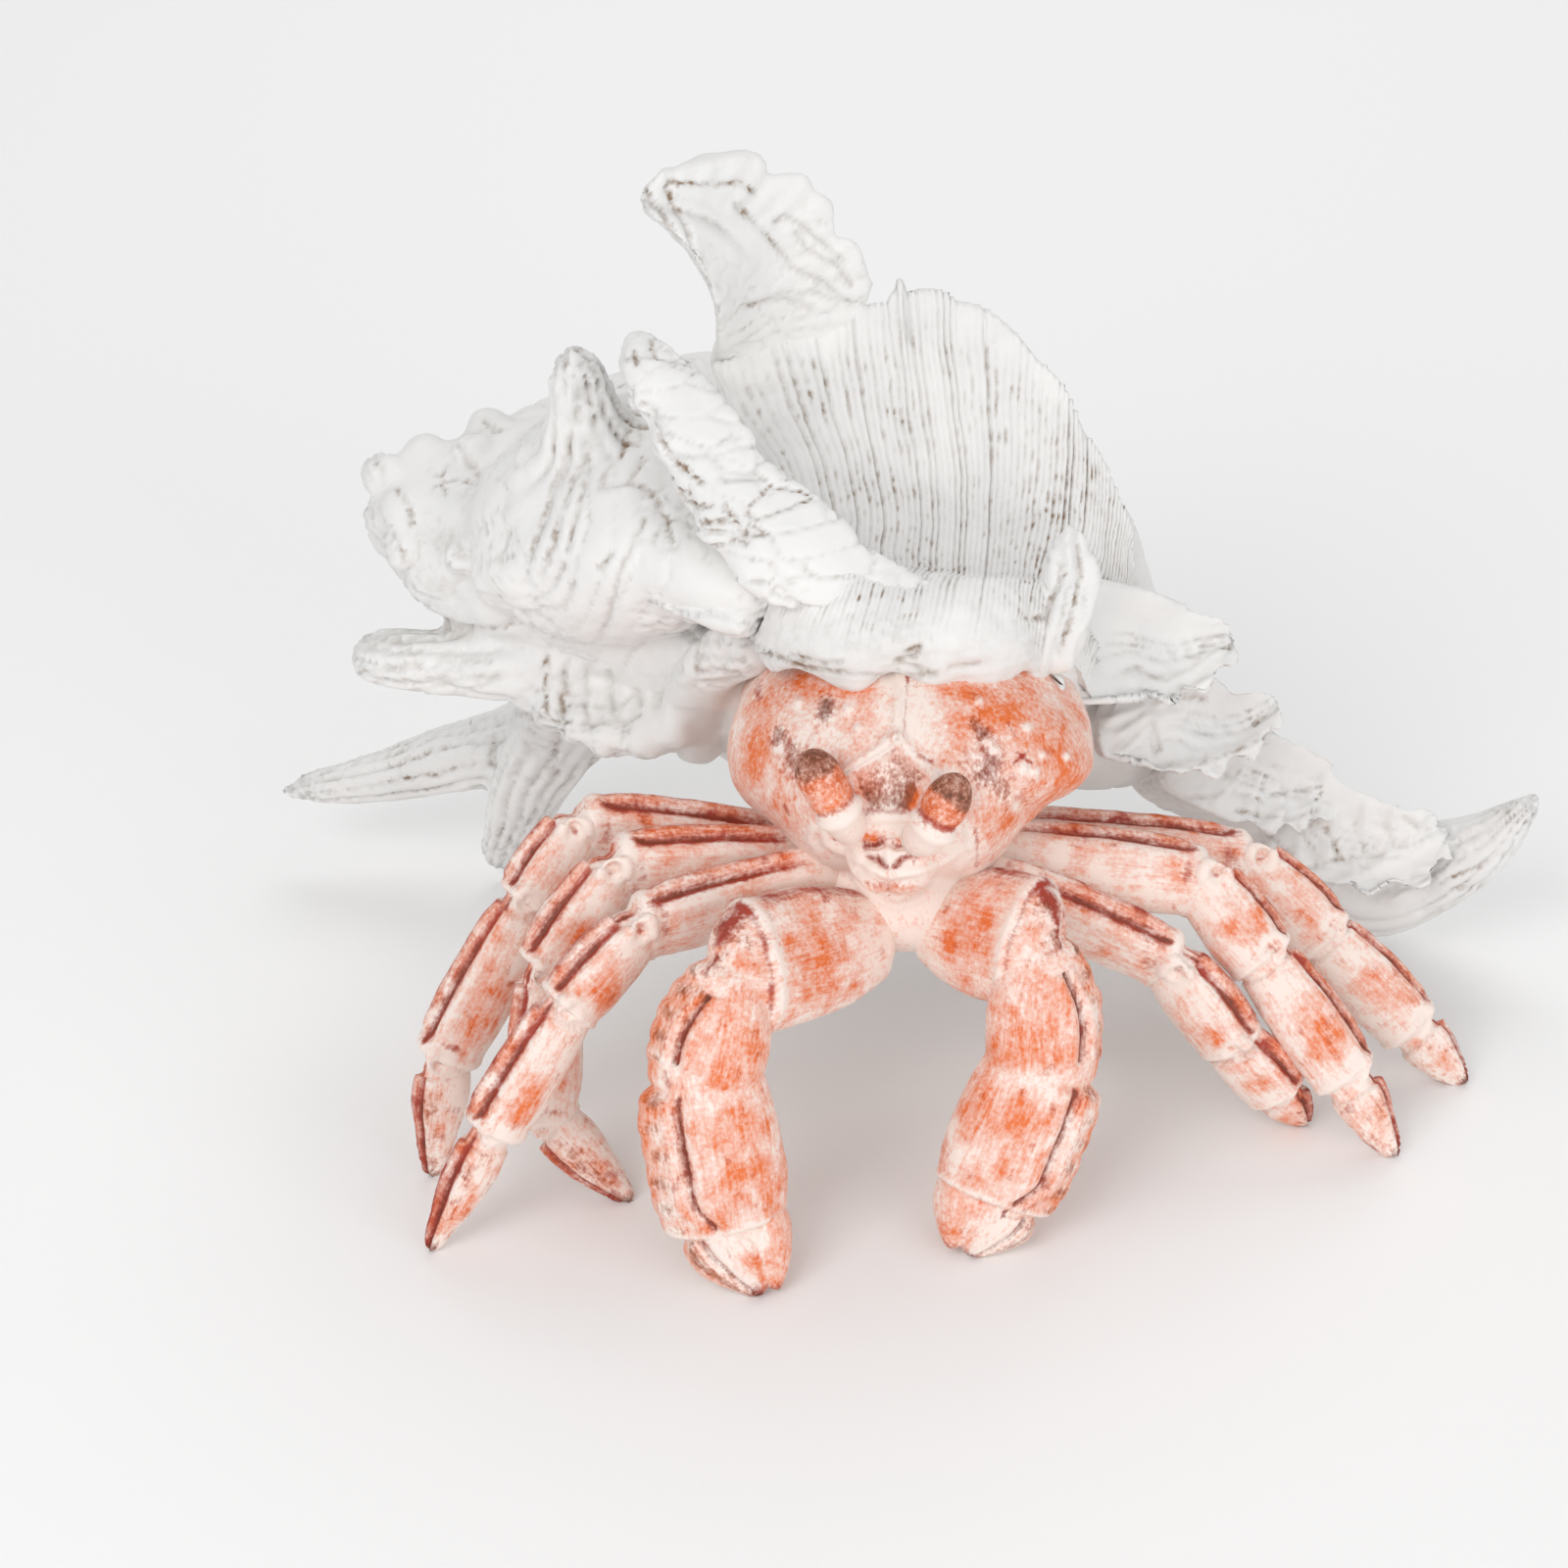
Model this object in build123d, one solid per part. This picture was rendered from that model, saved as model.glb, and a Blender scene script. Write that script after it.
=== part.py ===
from build123d import *
import os

# Overall size of the figurine: across the spine tips, front to back, and up to the crown spine
WIDTH = 222.25
DEPTH = 187.96
HEIGHT = 160.02

# Ends of the box that the long spines and the claw tips reach
LEFT = -WIDTH / 2
RIGHT = WIDTH / 2
FRONT = -DEPTH / 2
BACK = DEPTH / 2

# How far tips and toes run past the box and the ground before they are ground flat
OVERRUN = 1.0
FOOT_OVERRUN = 2.0

# Joins: castings are bonded on a thin line of adhesive and carried on steel wire pins
GLUE_LINE = 0.2
PIN_DIAMETER = 2.4
PIN_LENGTH = 14.0
PIN_CLEARANCE = 0.1
PIN_END_ROOM = 0.5

# Whorl of the shell, from the apex at the left to the root of the canal: centre, half depth, half height
WHORL = (
    ((-94.0, 22.0, 91.0), 4.0, 4.0),
    ((-86.0, 22.0, 89.0), 12.0, 11.0),
    ((-70.0, 22.0, 85.0), 24.0, 18.5),
    ((-42.0, 25.0, 79.5), 43.0, 27.5),
    ((-10.0, 25.0, 70.0), 52.0, 37.0),
    ((20.0, 15.0, 60.0), 40.0, 33.0),
    ((40.0, 9.0, 47.0), 20.0, 16.0),
    ((54.0, 5.0, 40.0), 14.0, 11.0),
)
# Last whorl, which swells from the spire towards the rib of the lip
LAST_WHORL = (
    ((-74.0, 16.0, 88.0), 14.0, 10.0),
    ((-60.0, 9.0, 92.0), 24.0, 19.0),
    ((-48.0, 2.0, 96.0), 26.0, 21.0),
    ((-36.0, -6.0, 98.0), 24.0, 17.0),
    ((-28.0, -10.0, 98.0), 18.0, 12.0),
)
SPIRE_KNOB_RADIUS = 4.0
SPIRE_KNOBS = (
    (-89.0, 24.5, 96.0),
    (-82.0, 27.5, 98.0),
    (-70.2, 31.5, 100.0),
    (-74.6, 21.0, 100.5),
    (-87.5, 16.5, 94.0),
    (-87.5, 13.0, 88.5),
    (-79.0, 3.5, 90.5),
)

# Fan: a curved sheet with columns from left to right, each from the crest of the lip back to the rim
FAN = (
    ((-23.0, -41.0, 107.5), (-27.0, -25.0, 110.0), (-31.0, -10.0, 114.0), (-33.0, 6.0, 121.5)),
    ((-16.0, -43.0, 105.0), (-16.0, -24.0, 101.0), (-15.0, -5.0, 108.5), (-15.0, 10.0, 124.5)),
    ((-8.0, -43.0, 103.0), (-6.0, -23.0, 97.5), (-3.0, -3.0, 106.0), (-3.0, 9.0, 129.0)),
    ((0.0, -43.0, 102.5), (4.0, -23.0, 95.5), (8.0, -4.0, 104.0), (8.0, 8.0, 129.0)),
    ((8.0, -41.0, 100.5), (13.0, -23.0, 92.5), (19.0, -5.0, 99.0), (21.5, 4.0, 118.5)),
    ((15.5, -38.0, 97.0), (20.0, -23.0, 88.0), (27.0, -8.0, 91.0), (29.5, 0.0, 106.0)),
    ((21.0, -33.0, 88.0), (25.5, -21.0, 81.0), (32.0, -10.0, 82.0), (35.0, -3.0, 94.0)),
    ((26.5, -28.0, 79.0), (30.5, -20.0, 74.0), (35.0, -12.0, 74.0), (38.0, -6.0, 81.0)),
)
FAN_WALL = 4.0
SCALLOP_RADIUS = 3.0

# Rolled lip over the head, from left to right: centre, half length front to back, half thickness
LIP = (
    ((-42.0, -17.0, 89.0), 12.0, 7.0),
    ((-32.0, -27.0, 96.0), 16.0, 8.0),
    ((-12.0, -32.5, 94.0), 18.5, 8.0),
    ((12.0, -28.0, 89.5), 17.0, 8.0),
    ((26.0, -18.0, 80.0), 12.0, 7.0),
)

# Spines as rows of ovals from root to tip: centre, half width, half thickness
CROWN_SPINE = (
    ((-19.0, 20.0, 104.0), 15.0, 9.0),
    ((-20.5, 15.0, 120.0), 13.0, 6.0),
    ((-22.5, 10.0, 132.0), 12.5, 5.0),
    ((-28.0, 6.0, 143.0), 12.0, 4.2),
    ((-37.0, 2.0, 152.0), 9.5, 3.4),
    ((-48.0, -2.0, 157.5), 4.5, 2.5),
)
LIP_RIB = (
    ((-22.0, -39.0, 101.0), 7.0, 6.0),
    ((-30.0, -38.0, 108.0), 8.0, 6.0),
    ((-38.0, -32.5, 116.0), 7.0, 5.5),
    ((-42.5, -27.0, 123.5), 6.2, 5.0),
    ((-51.5, -14.0, 137.5), 3.8, 3.2),
)
SHOULDER_SPINE = (
    ((-52.0, 5.0, 94.0), 19.0, 12.0),
    ((-55.5, -1.0, 108.0), 12.0, 8.5),
    ((-58.0, -4.0, 120.0), 6.5, 5.0),
    ((-59.5, -4.0, 131.5), 3.8, 3.2),
)
LIP_SPINE = (
    ((14.0, -34.0, 89.0), 7.0, 5.5),
    ((17.5, -36.0, 97.0), 5.5, 4.0),
    ((20.0, -35.0, 105.0), 2.0, 1.6),
)
LEFT_SIDE_SPINE = (
    ((-54.0, 12.0, 74.0), 14.0, 9.0),
    ((-66.0, 8.0, 68.0), 11.0, 7.0),
    ((-84.0, 13.0, 65.5), 7.5, 5.0),
    ((-97.5, 18.5, 65.5), 5.0, 3.5),
)
LEFT_REAR_SPINE = (
    ((-44.0, 46.0, 50.0), 12.0, 10.0),
    ((-60.0, 47.0, 31.0), 9.5, 8.0),
    ((-86.0, 53.0, 21.0), 6.5, 5.5),
    ((LEFT - OVERRUN, 58.5, 15.5), 2.8, 2.6),
)
LEFT_FOOT_SPINE = (
    ((-50.0, 24.0, 58.0), 11.0, 8.0),
    ((-58.0, 29.0, 42.0), 9.5, 5.5),
    ((-65.0, 38.0, 22.0), 8.0, 5.0),
    ((-70.0, 48.0, -FOOT_OVERRUN), 5.5, 4.0),
)
REAR_SPINE = (
    ((-6.0, 58.0, 66.0), 10.0, 9.0),
    ((-4.0, 74.0, 62.0), 7.5, 6.0),
    ((0.0, BACK + OVERRUN, 58.0), 3.0, 2.4),
)
REAR_FOOT_SPINE = (
    ((8.0, 44.0, 44.0), 11.0, 9.0),
    ((12.0, 56.0, 24.0), 8.0, 6.5),
    ((16.0, 68.0, -FOOT_OVERRUN), 6.0, 5.0),
)
SIPHON_CANAL = (
    ((42.0, 7.0, 46.0), 15.0, 13.0),
    ((62.0, 0.0, 33.0), 12.0, 10.5),
    ((85.0, -6.0, 14.0), 11.0, 10.0),
    ((102.0, -13.0, 23.5), 8.0, 6.0),
    ((RIGHT + OVERRUN, -19.0, 37.5), 3.5, 2.2),
)
FRONDS = {
    "canal_frond_upper": (
        ((18.0, -24.0, 80.0), 12.0, 9.0),
        ((30.0, -25.0, 78.0), 9.5, 4.5),
        ((42.0, -20.0, 73.0), 7.0, 3.0),
        ((52.5, -18.0, 73.5), 3.4, 2.0),
    ),
    "canal_frond_middle": (
        ((30.0, -16.0, 64.0), 11.0, 8.0),
        ((40.0, -20.0, 60.5), 9.0, 4.5),
        ((52.0, -16.0, 55.0), 6.0, 2.8),
        ((62.5, -14.0, 58.0), 2.8, 1.8),
    ),
    "canal_frond_lower": (
        ((46.0, -6.0, 48.0), 10.0, 8.0),
        ((56.0, -12.0, 43.0), 8.5, 4.0),
        ((66.0, -10.0, 38.0), 6.5, 2.6),
        ((75.0, -9.0, 35.0), 4.5, 1.8),
    ),
    "canal_frond_end": (
        ((66.0, -6.0, 32.0), 9.0, 7.0),
        ((76.0, -13.0, 28.0), 8.5, 4.0),
        ((86.0, -15.0, 26.5), 7.0, 2.6),
        ((95.0, -14.0, 29.0), 4.5, 1.8),
    ),
}

# Head shield, from the face to the end of the plug in the shell: centre, half width, half height
HEAD = (
    ((-15.0, -62.0, 59.5), 8.0, 6.0),
    ((-14.0, -58.0, 62.5), 18.0, 13.0),
    ((-11.5, -50.0, 66.5), 27.5, 20.0),
    ((-8.7, -38.0, 69.0), 30.5, 21.5),
    ((-8.0, -22.0, 69.0), 27.0, 20.0),
    ((-8.0, -4.0, 68.0), 21.0, 17.0),
)
# Chest under the head, which carries the limbs
CHEST = (
    ((-13.0, -57.5, 50.0), 8.0, 6.0),
    ((-12.0, -52.0, 48.5), 15.0, 9.5),
    ((-10.5, -42.0, 48.0), 22.0, 12.0),
    ((-9.5, -28.0, 48.0), 22.0, 12.0),
    ((-9.0, -12.0, 50.0), 15.0, 9.0),
)

# Eyestalks, root to collar to cap, and the mouth plates
EYES = {
    "left_eye": ((-22.0, -57.0, 66.0), (-25.5, -63.0, 73.0), (-29.0, -61.5, 80.0)),
    "right_eye": ((-11.5, -58.0, 64.0), (-10.0, -69.0, 72.5), (-7.0, -69.0, 78.0)),
}
EYESTALK_RADIUS = 3.4
EYE_RADIUS = 4.1
EYE_PIN_LENGTH = 7.0
MOUTH = (
    ((-15.5, -57.0, 63.0), 8.0, 6.0),
    ((-16.0, -62.5, 61.0), 7.0, 5.5),
    ((-16.2, -66.0, 59.5), 4.5, 3.5),
)

# Legs: hip, knee, wrist, ankle and toe, left and right as seen from in front of the crab
LEGS = {
    "left_front_leg": (
        (-24.0, -48.0, 52.0),
        (-58.0, -59.0, 52.0),
        (-70.0, -64.0, 42.0),
        (-83.5, -68.0, 22.0),
        (-95.0, -70.5, -OVERRUN),
    ),
    "left_middle_leg": (
        (-24.5, -40.5, 50.0),
        (-60.0, -47.5, 56.5),
        (-72.0, -53.0, 42.5),
        (-74.0, -57.0, 16.0),
        (-60.5, -62.0, -OVERRUN),
    ),
    "left_rear_leg": (
        (-24.5, -33.0, 47.0),
        (-64.5, -36.0, 58.0),
        (-73.0, -40.0, 48.0),
        (-89.0, -45.0, 21.5),
        (-92.5, -49.5, -OVERRUN),
    ),
    "right_front_leg": (
        (2.0, -48.0, 49.0),
        (32.5, -57.0, 34.5),
        (43.0, -60.0, 19.5),
        (51.0, -61.0, 9.5),
        (57.0, -60.0, -OVERRUN),
    ),
    "right_middle_leg": (
        (4.0, -40.5, 49.0),
        (40.5, -47.0, 43.0),
        (49.0, -55.0, 32.5),
        (62.0, -66.0, 14.0),
        (69.5, -72.0, -OVERRUN),
    ),
    "right_rear_leg": (
        (5.0, -33.0, 47.0),
        (52.0, -35.0, 38.0),
        (64.0, -41.0, 26.5),
        (79.0, -48.0, 10.5),
        (88.0, -53.0, -OVERRUN),
    ),
}
# Half height and half thickness of each leg segment at its fullest
LEG_SIZES = ((6.4, 4.1), (6.2, 4.6), (6.0, 4.5), (4.6, 3.6))

# Claws: shoulder, elbow, wrist, knuckle and finger tip
CLAWS = {
    "left_claw": (
        (-17.0, -54.0, 43.0),
        (-46.0, -75.5, 52.0),
        (-51.0, -80.0, 34.5),
        (-48.0, -85.0, 12.0),
        (-42.5, FRONT - OVERRUN, -OVERRUN),
    ),
    "right_claw": (
        (-7.0, -52.0, 44.0),
        (7.0, -72.0, 49.0),
        (6.0, -78.0, 28.0),
        (-2.5, -83.0, 10.0),
        (-9.0, -88.0, -OVERRUN),
    ),
}
CLAW_SIZES = ((11.0, 6.2), (10.0, 6.8), (12.0, 7.5))
FINGER_SIZE = (5.6, 5.2)
FINGER_SPREAD = 5.0
FINGER_TIP_SPREAD = 1.5

# Swell of a limb segment along its length, and of a pointed end: place, share of its fullest size
SEGMENT_SWELL = ((0.0, 0.72), (0.35, 1.0), (0.75, 0.98), (1.0, 0.84))
POINT_SWELL = ((0.0, 0.85), (0.3, 1.0), (0.65, 0.72), (1.0, 0.22))

# Directions that the broad side of each sort of piece follows
ACROSS = Vector(1, 0, 0)
BACKWARDS = Vector(0, 1, 0)
UPWARDS = Vector(0, 0, 1)
TOWARDS_VIEWER = Vector(0, -0.85, 0.5)
LEANING = Vector(1, 0, 1)

# Spines that stand on the whorl, with the way that their broad side faces
SPINES = {
    "crown_spine": (CROWN_SPINE, LEANING),
    "shoulder_spine": (SHOULDER_SPINE, ACROSS),
    "left_side_spine": (LEFT_SIDE_SPINE, BACKWARDS),
    "left_rear_spine": (LEFT_REAR_SPINE, BACKWARDS),
    "left_foot_spine": (LEFT_FOOT_SPINE, ACROSS),
    "rear_spine": (REAR_SPINE, ACROSS),
    "rear_foot_spine": (REAR_FOOT_SPINE, ACROSS),
}


def loft_ovals(stations, broad, grow=0.0):
    """A smooth solid through ovals square to the line of their centres, broad side along `broad`."""
    centres = [Vector(*station[0]) for station in stations]
    last = len(centres) - 1
    sections = []
    for place, (_, half_width, half_height) in enumerate(stations):
        along = centres[min(place + 1, last)] - centres[max(place - 1, 0)]
        along = along.normalized()
        centre = centres[place]
        if place == 0:
            centre = centre - along * grow
        if place == last:
            centre = centre + along * grow
        plane = Plane(origin=centre, x_dir=broad, z_dir=along)
        sections.append(plane * Ellipse(half_width + grow, half_height + grow))
    return loft(sections)


def between(start, end, share):
    """The point at a share of the way along a straight run."""
    return start + (end - start) * share


def segment(start, end, sizes, swell, broad):
    """One limb segment between two joints, swelling and tapering along its length."""
    half_width, half_height = sizes
    stations = []
    for place, share in swell:
        centre = between(start, end, place)
        stations.append((tuple(centre), half_width * share, half_height * share))
    return loft_ovals(stations, broad)


def exit_point(solid, inside, outside):
    """Where the straight line from a point in a solid to a point outside it comes out."""
    run = Edge.make_line(inside, outside)
    beyond = (run - solid).edges()
    ends = [edge @ 0 for edge in beyond] + [edge @ 1 for edge in beyond]
    return min(ends, key=lambda point: (point - inside).length)


def wire(point, direction, length, radius):
    """A straight length of round wire centred on a point."""
    plane = Plane(origin=point, z_dir=direction)
    return plane * Cylinder(radius, length)


def leg(joints):
    """A walking leg: four segments in the plane that it bends in, with a knuckle at each joint."""
    points = [Vector(*joint) for joint in joints]
    bend = (points[1] - points[0]).cross(points[3] - points[2])
    shape = None
    for place, sizes in enumerate(LEG_SIZES):
        start, end = points[place], points[place + 1]
        broad = bend.cross(end - start)
        swell = POINT_SWELL if place == len(LEG_SIZES) - 1 else SEGMENT_SWELL
        piece = segment(start, end, sizes, swell, broad)
        if shape is None:
            shape = piece
        else:
            shape = shape + piece + Pos(*start) * Sphere(sizes[1])
    return shape


def claw(joints):
    """A pincer arm: upper arm, forearm, palm and two closed fingers."""
    points = [Vector(*joint) for joint in joints]
    shape = None
    for place, sizes in enumerate(CLAW_SIZES):
        start, end = points[place], points[place + 1]
        broad = (end - start).cross(TOWARDS_VIEWER)
        piece = segment(start, end, sizes, SEGMENT_SWELL, broad)
        if shape is None:
            shape = piece
        else:
            shape = shape + piece + Pos(*start) * Sphere(sizes[1])
    knuckle, tip = points[3], points[4]
    aside = (tip - knuckle).cross(TOWARDS_VIEWER).normalized()
    for side in (-1, 1):
        root = knuckle + aside * side * FINGER_SPREAD
        end = tip + aside * side * FINGER_TIP_SPREAD
        shape = shape + segment(root, end, FINGER_SIZE, POINT_SWELL, aside)
    return shape


def crab(grow=0.0):
    """Head and chest in one, optionally grown by a clearance."""
    return loft_ovals(HEAD, ACROSS, grow) + loft_ovals(CHEST, ACROSS, grow)


def whorls(grow=0.0):
    """The whole whorl and the last turn of it, optionally grown by a clearance."""
    return loft_ovals(WHORL, BACKWARDS, grow) + loft_ovals(LAST_WHORL, BACKWARDS, grow)


def fan_sheet(above, below):
    """The ribbed dish as a sheet, grown by given amounts from its upper face."""
    upper = Face.make_surface_from_array_of_points([list(column) for column in FAN])
    up = 1 if upper.normal_at(upper.center()).Z > 0 else -1
    sheet = thicken(upper, -up * below)
    if above:
        sheet = sheet + thicken(upper, up * above)
    return sheet


def rim_scallops():
    """A notch between each two points of the fan's rim."""
    rim = [Vector(*column[-1]) for column in FAN]
    middles = [between(first, second, 0.5) for first, second in zip(rim, rim[1:])]
    return [Pos(*middle) * Sphere(SCALLOP_RADIUS) for middle in middles]


def trim(shape):
    """A casting cut to the box and the ground, without the crumbs that its cuts leave."""
    bounds = Box(WIDTH, DEPTH, HEIGHT, align=(Align.CENTER, Align.CENTER, Align.MIN))
    return max((shape & bounds).solids(), key=lambda solid: solid.volume)


# Main masses, and the same grown by the adhesive line, which shape the seats of what is bonded to them
whorl = whorls()
whorl_seat = whorls(GLUE_LINE)
crab_solid = crab()
crab_seat = crab(GLUE_LINE)
fan_seat = fan_sheet(GLUE_LINE, FAN_WALL + GLUE_LINE)
lip_seat = loft_ovals(LIP, BACKWARDS, GLUE_LINE)
rib_seat = loft_ovals(LIP_RIB, ACROSS, GLUE_LINE)
canal_seat = loft_ovals(SIPHON_CANAL, BACKWARDS, GLUE_LINE)

# Fan, lip and canal
castings = {}
castings["shell_fan"] = fan_sheet(0.0, FAN_WALL) - whorl_seat - rib_seat - rim_scallops()
castings["shell_lip"] = loft_ovals(LIP, BACKWARDS) - whorl_seat - crab_seat - fan_seat
castings["siphon_canal"] = loft_ovals(SIPHON_CANAL, BACKWARDS) - whorl_seat - crab_seat

# Spines, each cut to the faces that it is bonded to
for name, (stations, broad) in SPINES.items():
    castings[name] = loft_ovals(stations, broad) - whorl_seat
foot_seat = loft_ovals(LEFT_FOOT_SPINE, ACROSS, GLUE_LINE)
castings["left_rear_spine"] = castings["left_rear_spine"] - foot_seat
castings["crown_spine"] = castings["crown_spine"] - fan_seat
castings["lip_rib"] = loft_ovals(LIP_RIB, ACROSS) - whorl_seat - lip_seat
castings["lip_spine"] = loft_ovals(LIP_SPINE, ACROSS) - fan_seat - lip_seat
seats = [whorl_seat, crab_seat, lip_seat, fan_seat, canal_seat]
for name, stations in FRONDS.items():
    castings[name] = loft_ovals(stations, UPWARDS) - seats
    seats.append(loft_ovals(stations, UPWARDS, GLUE_LINE))

# Crab
castings["crab_body"] = crab_solid
for name, joints in LEGS.items():
    castings[name] = leg(joints) - crab_seat
for name, joints in CLAWS.items():
    castings[name] = claw(joints) - crab_seat
for name, places in EYES.items():
    stalk = [(place, EYESTALK_RADIUS, EYESTALK_RADIUS) for place in places]
    castings[name] = loft_ovals(stalk, ACROSS) + Pos(*places[-1]) * Sphere(EYE_RADIUS) - crab_seat
castings["mouthparts"] = loft_ovals(MOUTH, ACROSS) - crab_seat

# Shell body: the whorls with knobs on the spire and an open mouth that the crab fills
knobs = [Pos(*place) * Sphere(SPIRE_KNOB_RADIUS) for place in SPIRE_KNOBS]
castings["shell_body"] = whorl + knobs - crab_seat

# Wire pins: each crosses the joint between a casting and what carries it, in a drilled hole in both
limb_runs = {name: joints[:2] for name, joints in {**LEGS, **CLAWS}.items()}
eye_runs = {name: places[:2] for name, places in EYES.items()}
spine_runs = {name: (stations[0][0], stations[2][0]) for name, (stations, _) in SPINES.items()}
spine_runs["siphon_canal"] = (SIPHON_CANAL[0][0], SIPHON_CANAL[1][0])
pin_groups = (
    ("limb_pins", limb_runs, "crab_body", crab_solid, PIN_LENGTH),
    ("eye_pins", eye_runs, "crab_body", crab_solid, EYE_PIN_LENGTH),
    ("spine_pins", spine_runs, "shell_body", whorl, PIN_LENGTH),
)
os.makedirs("parts", exist_ok=True)
for group, runs, carrier, carrier_solid, length in pin_groups:
    pins = []
    for name, (root, end) in runs.items():
        root, end = Vector(*root), Vector(*end)
        direction = (end - root).normalized()
        point = exit_point(carrier_solid, root, end)
        pins.append(wire(point, direction, length, PIN_DIAMETER / 2))
        hole = wire(point, direction, length + 2 * PIN_END_ROOM, PIN_DIAMETER / 2 + PIN_CLEARANCE)
        castings[name] = castings[name] - hole
        castings[carrier] = castings[carrier] - hole
    export_step(Compound(children=pins), f"parts/{group}.step")

for name, shape in castings.items():
    export_step(trim(shape), f"parts/{name}.step")
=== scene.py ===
"""Hermit crab figurine under a whitewashed spiny shell, dressed around its fixed frame."""
import math

import bmesh
import bpy
import numpy as np
from bpy.props import FloatProperty, FloatVectorProperty, PointerProperty
from mathutils import Matrix, Vector, noise


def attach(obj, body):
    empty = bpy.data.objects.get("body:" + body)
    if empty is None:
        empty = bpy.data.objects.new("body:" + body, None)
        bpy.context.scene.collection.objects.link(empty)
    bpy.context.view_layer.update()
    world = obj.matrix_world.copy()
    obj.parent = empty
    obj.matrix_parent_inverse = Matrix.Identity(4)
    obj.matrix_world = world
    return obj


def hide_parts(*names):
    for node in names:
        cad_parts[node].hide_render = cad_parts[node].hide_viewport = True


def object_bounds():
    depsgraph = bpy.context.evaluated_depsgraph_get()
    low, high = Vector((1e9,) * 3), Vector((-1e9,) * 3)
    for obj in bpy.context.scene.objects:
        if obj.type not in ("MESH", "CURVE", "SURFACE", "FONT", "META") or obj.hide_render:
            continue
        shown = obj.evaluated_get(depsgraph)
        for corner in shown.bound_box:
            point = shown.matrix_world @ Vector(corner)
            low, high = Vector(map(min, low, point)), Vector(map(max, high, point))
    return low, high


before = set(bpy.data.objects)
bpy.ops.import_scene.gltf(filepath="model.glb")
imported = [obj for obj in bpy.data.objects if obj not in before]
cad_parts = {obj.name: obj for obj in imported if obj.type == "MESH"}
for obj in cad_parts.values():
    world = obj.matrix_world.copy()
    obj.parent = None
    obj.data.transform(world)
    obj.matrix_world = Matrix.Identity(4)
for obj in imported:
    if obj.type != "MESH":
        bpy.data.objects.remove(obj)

bl_info = {
    "name": "Hermit Crab Figurine",
    "version": (1, 0, 0),
    "blender": (4, 5, 0),
    "location": "View3D > Sidebar > Figurine",
    "description": "Builds the carved and painted surfaces of a cast resin hermit crab ornament",
    "category": "Object",
}

CAD_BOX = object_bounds()
MM = 0.001
BODY = "root"

# Directions in the frame: the crab faces the viewer, who looks a little down at it
UP = (0.0, 0.0, 1.0)
BACK = (0.0, 1.0, 0.0)
VIEWER = (0.0, -0.85, 0.5)

# The photo's view: its target and distance in mm, and the way back to the viewer
VIEW_TARGET = (-23.37, 0.0, 41.98)
VIEW_DISTANCE = 760.0
VIEW_BACK = (-0.150, -0.853, 0.5)
# The face as seen from in front: the nose in mm, and the directions to its right and up
NOSE = (-17.3, -64.7, 63.8)
FACE_RIGHT = (0.985, -0.173, 0.0)
FACE_UP = (0.087, 0.492, 0.866)

# Rows of ovals in mm, root to tip: centre x, y, z, half width, half thickness
WHORL = (
    (-94, 22, 91, 4, 4),
    (-86, 22, 89, 12, 11),
    (-70, 22, 85, 24, 18.5),
    (-42, 25, 79.5, 43, 27.5),
    (-10, 25, 70, 52, 37),
    (20, 15, 60, 40, 33),
    (40, 9, 47, 20, 16),
    (54, 5, 40, 14, 11),
)
SPIRE_KNOBS = (
    (-89, 24.5, 96, 4),
    (-82, 27.5, 98, 4),
    (-70.2, 31.5, 100, 4.5),
    (-74.6, 21, 100.5, 4),
    (-87.5, 16.5, 94, 3.5),
    (-87.5, 13, 88.5, 4),
    (-79, 3.5, 90.5, 3.5),
)
SHOULDER_SPINE = (
    (-52, 5, 94, 19, 12),
    (-55.5, -1, 108, 12, 8.5),
    (-58, -4, 120, 6.5, 5),
    (-59.5, -4, 131.5, 3.8, 3.2),
)
LEFT_SIDE_SPINE = (
    (-52, 12, 74, 15, 9),
    (-66, 8, 68, 11, 7),
    (-84, 13, 65.5, 7.5, 5.5),
    (-97.5, 18.5, 65.5, 5.5, 4),
)
LEFT_REAR_SPINE = (
    (-32, 38, 64, 15, 13),
    (-44, 46, 50, 12, 10),
    (-60, 47, 31, 10, 8),
    (-86, 53, 21, 7, 5.5),
    (-110.8, 58.5, 15.5, 3.2, 2.8),
)
LEFT_FOOT_SPINE = (
    (-50, 24, 58, 12, 8),
    (-58, 29, 42, 10, 5.5),
    (-65, 38, 22, 8, 5),
    (-70, 47, 0.5, 5.5, 4),
)
REAR_SPINE = (
    (-6, 58, 66, 11, 9),
    (-4, 74, 62, 7.5, 6),
    (0, 93.5, 58, 3, 2.4),
)
REAR_FOOT_SPINE = (
    (8, 44, 44, 12, 9),
    (12, 56, 24, 8, 6.5),
    (16, 67, 0.5, 6, 5),
)
LAST_WHORL = (
    (-74, 16, 88, 14, 10),
    (-60, 9, 92, 24, 19),
    (-48, 2, 96, 26, 21),
    (-36, -6, 98, 24, 17),
    (-28, -10, 98, 18, 12),
)
FLANGE = (
    (-66, 6, 64, 8, 4),
    (-58, -2, 62, 10, 4.5),
    (-48, -10, 62, 10, 4.5),
    (-40, -14, 66, 7, 4),
)
LIP_ROOT = (
    (-29, -35, 100, 8, 5),
    (-37, -25, 99, 12, 9),
    (-46, -12, 97, 13, 11),
)
INNER_LIP = (
    (-33, -31, 88, 5.5, 4),
    (-39.5, -20, 77, 5.5, 4),
    (-41.5, -12, 63, 5, 4),
    (-38, -6, 52, 4, 3.5),
)
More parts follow.
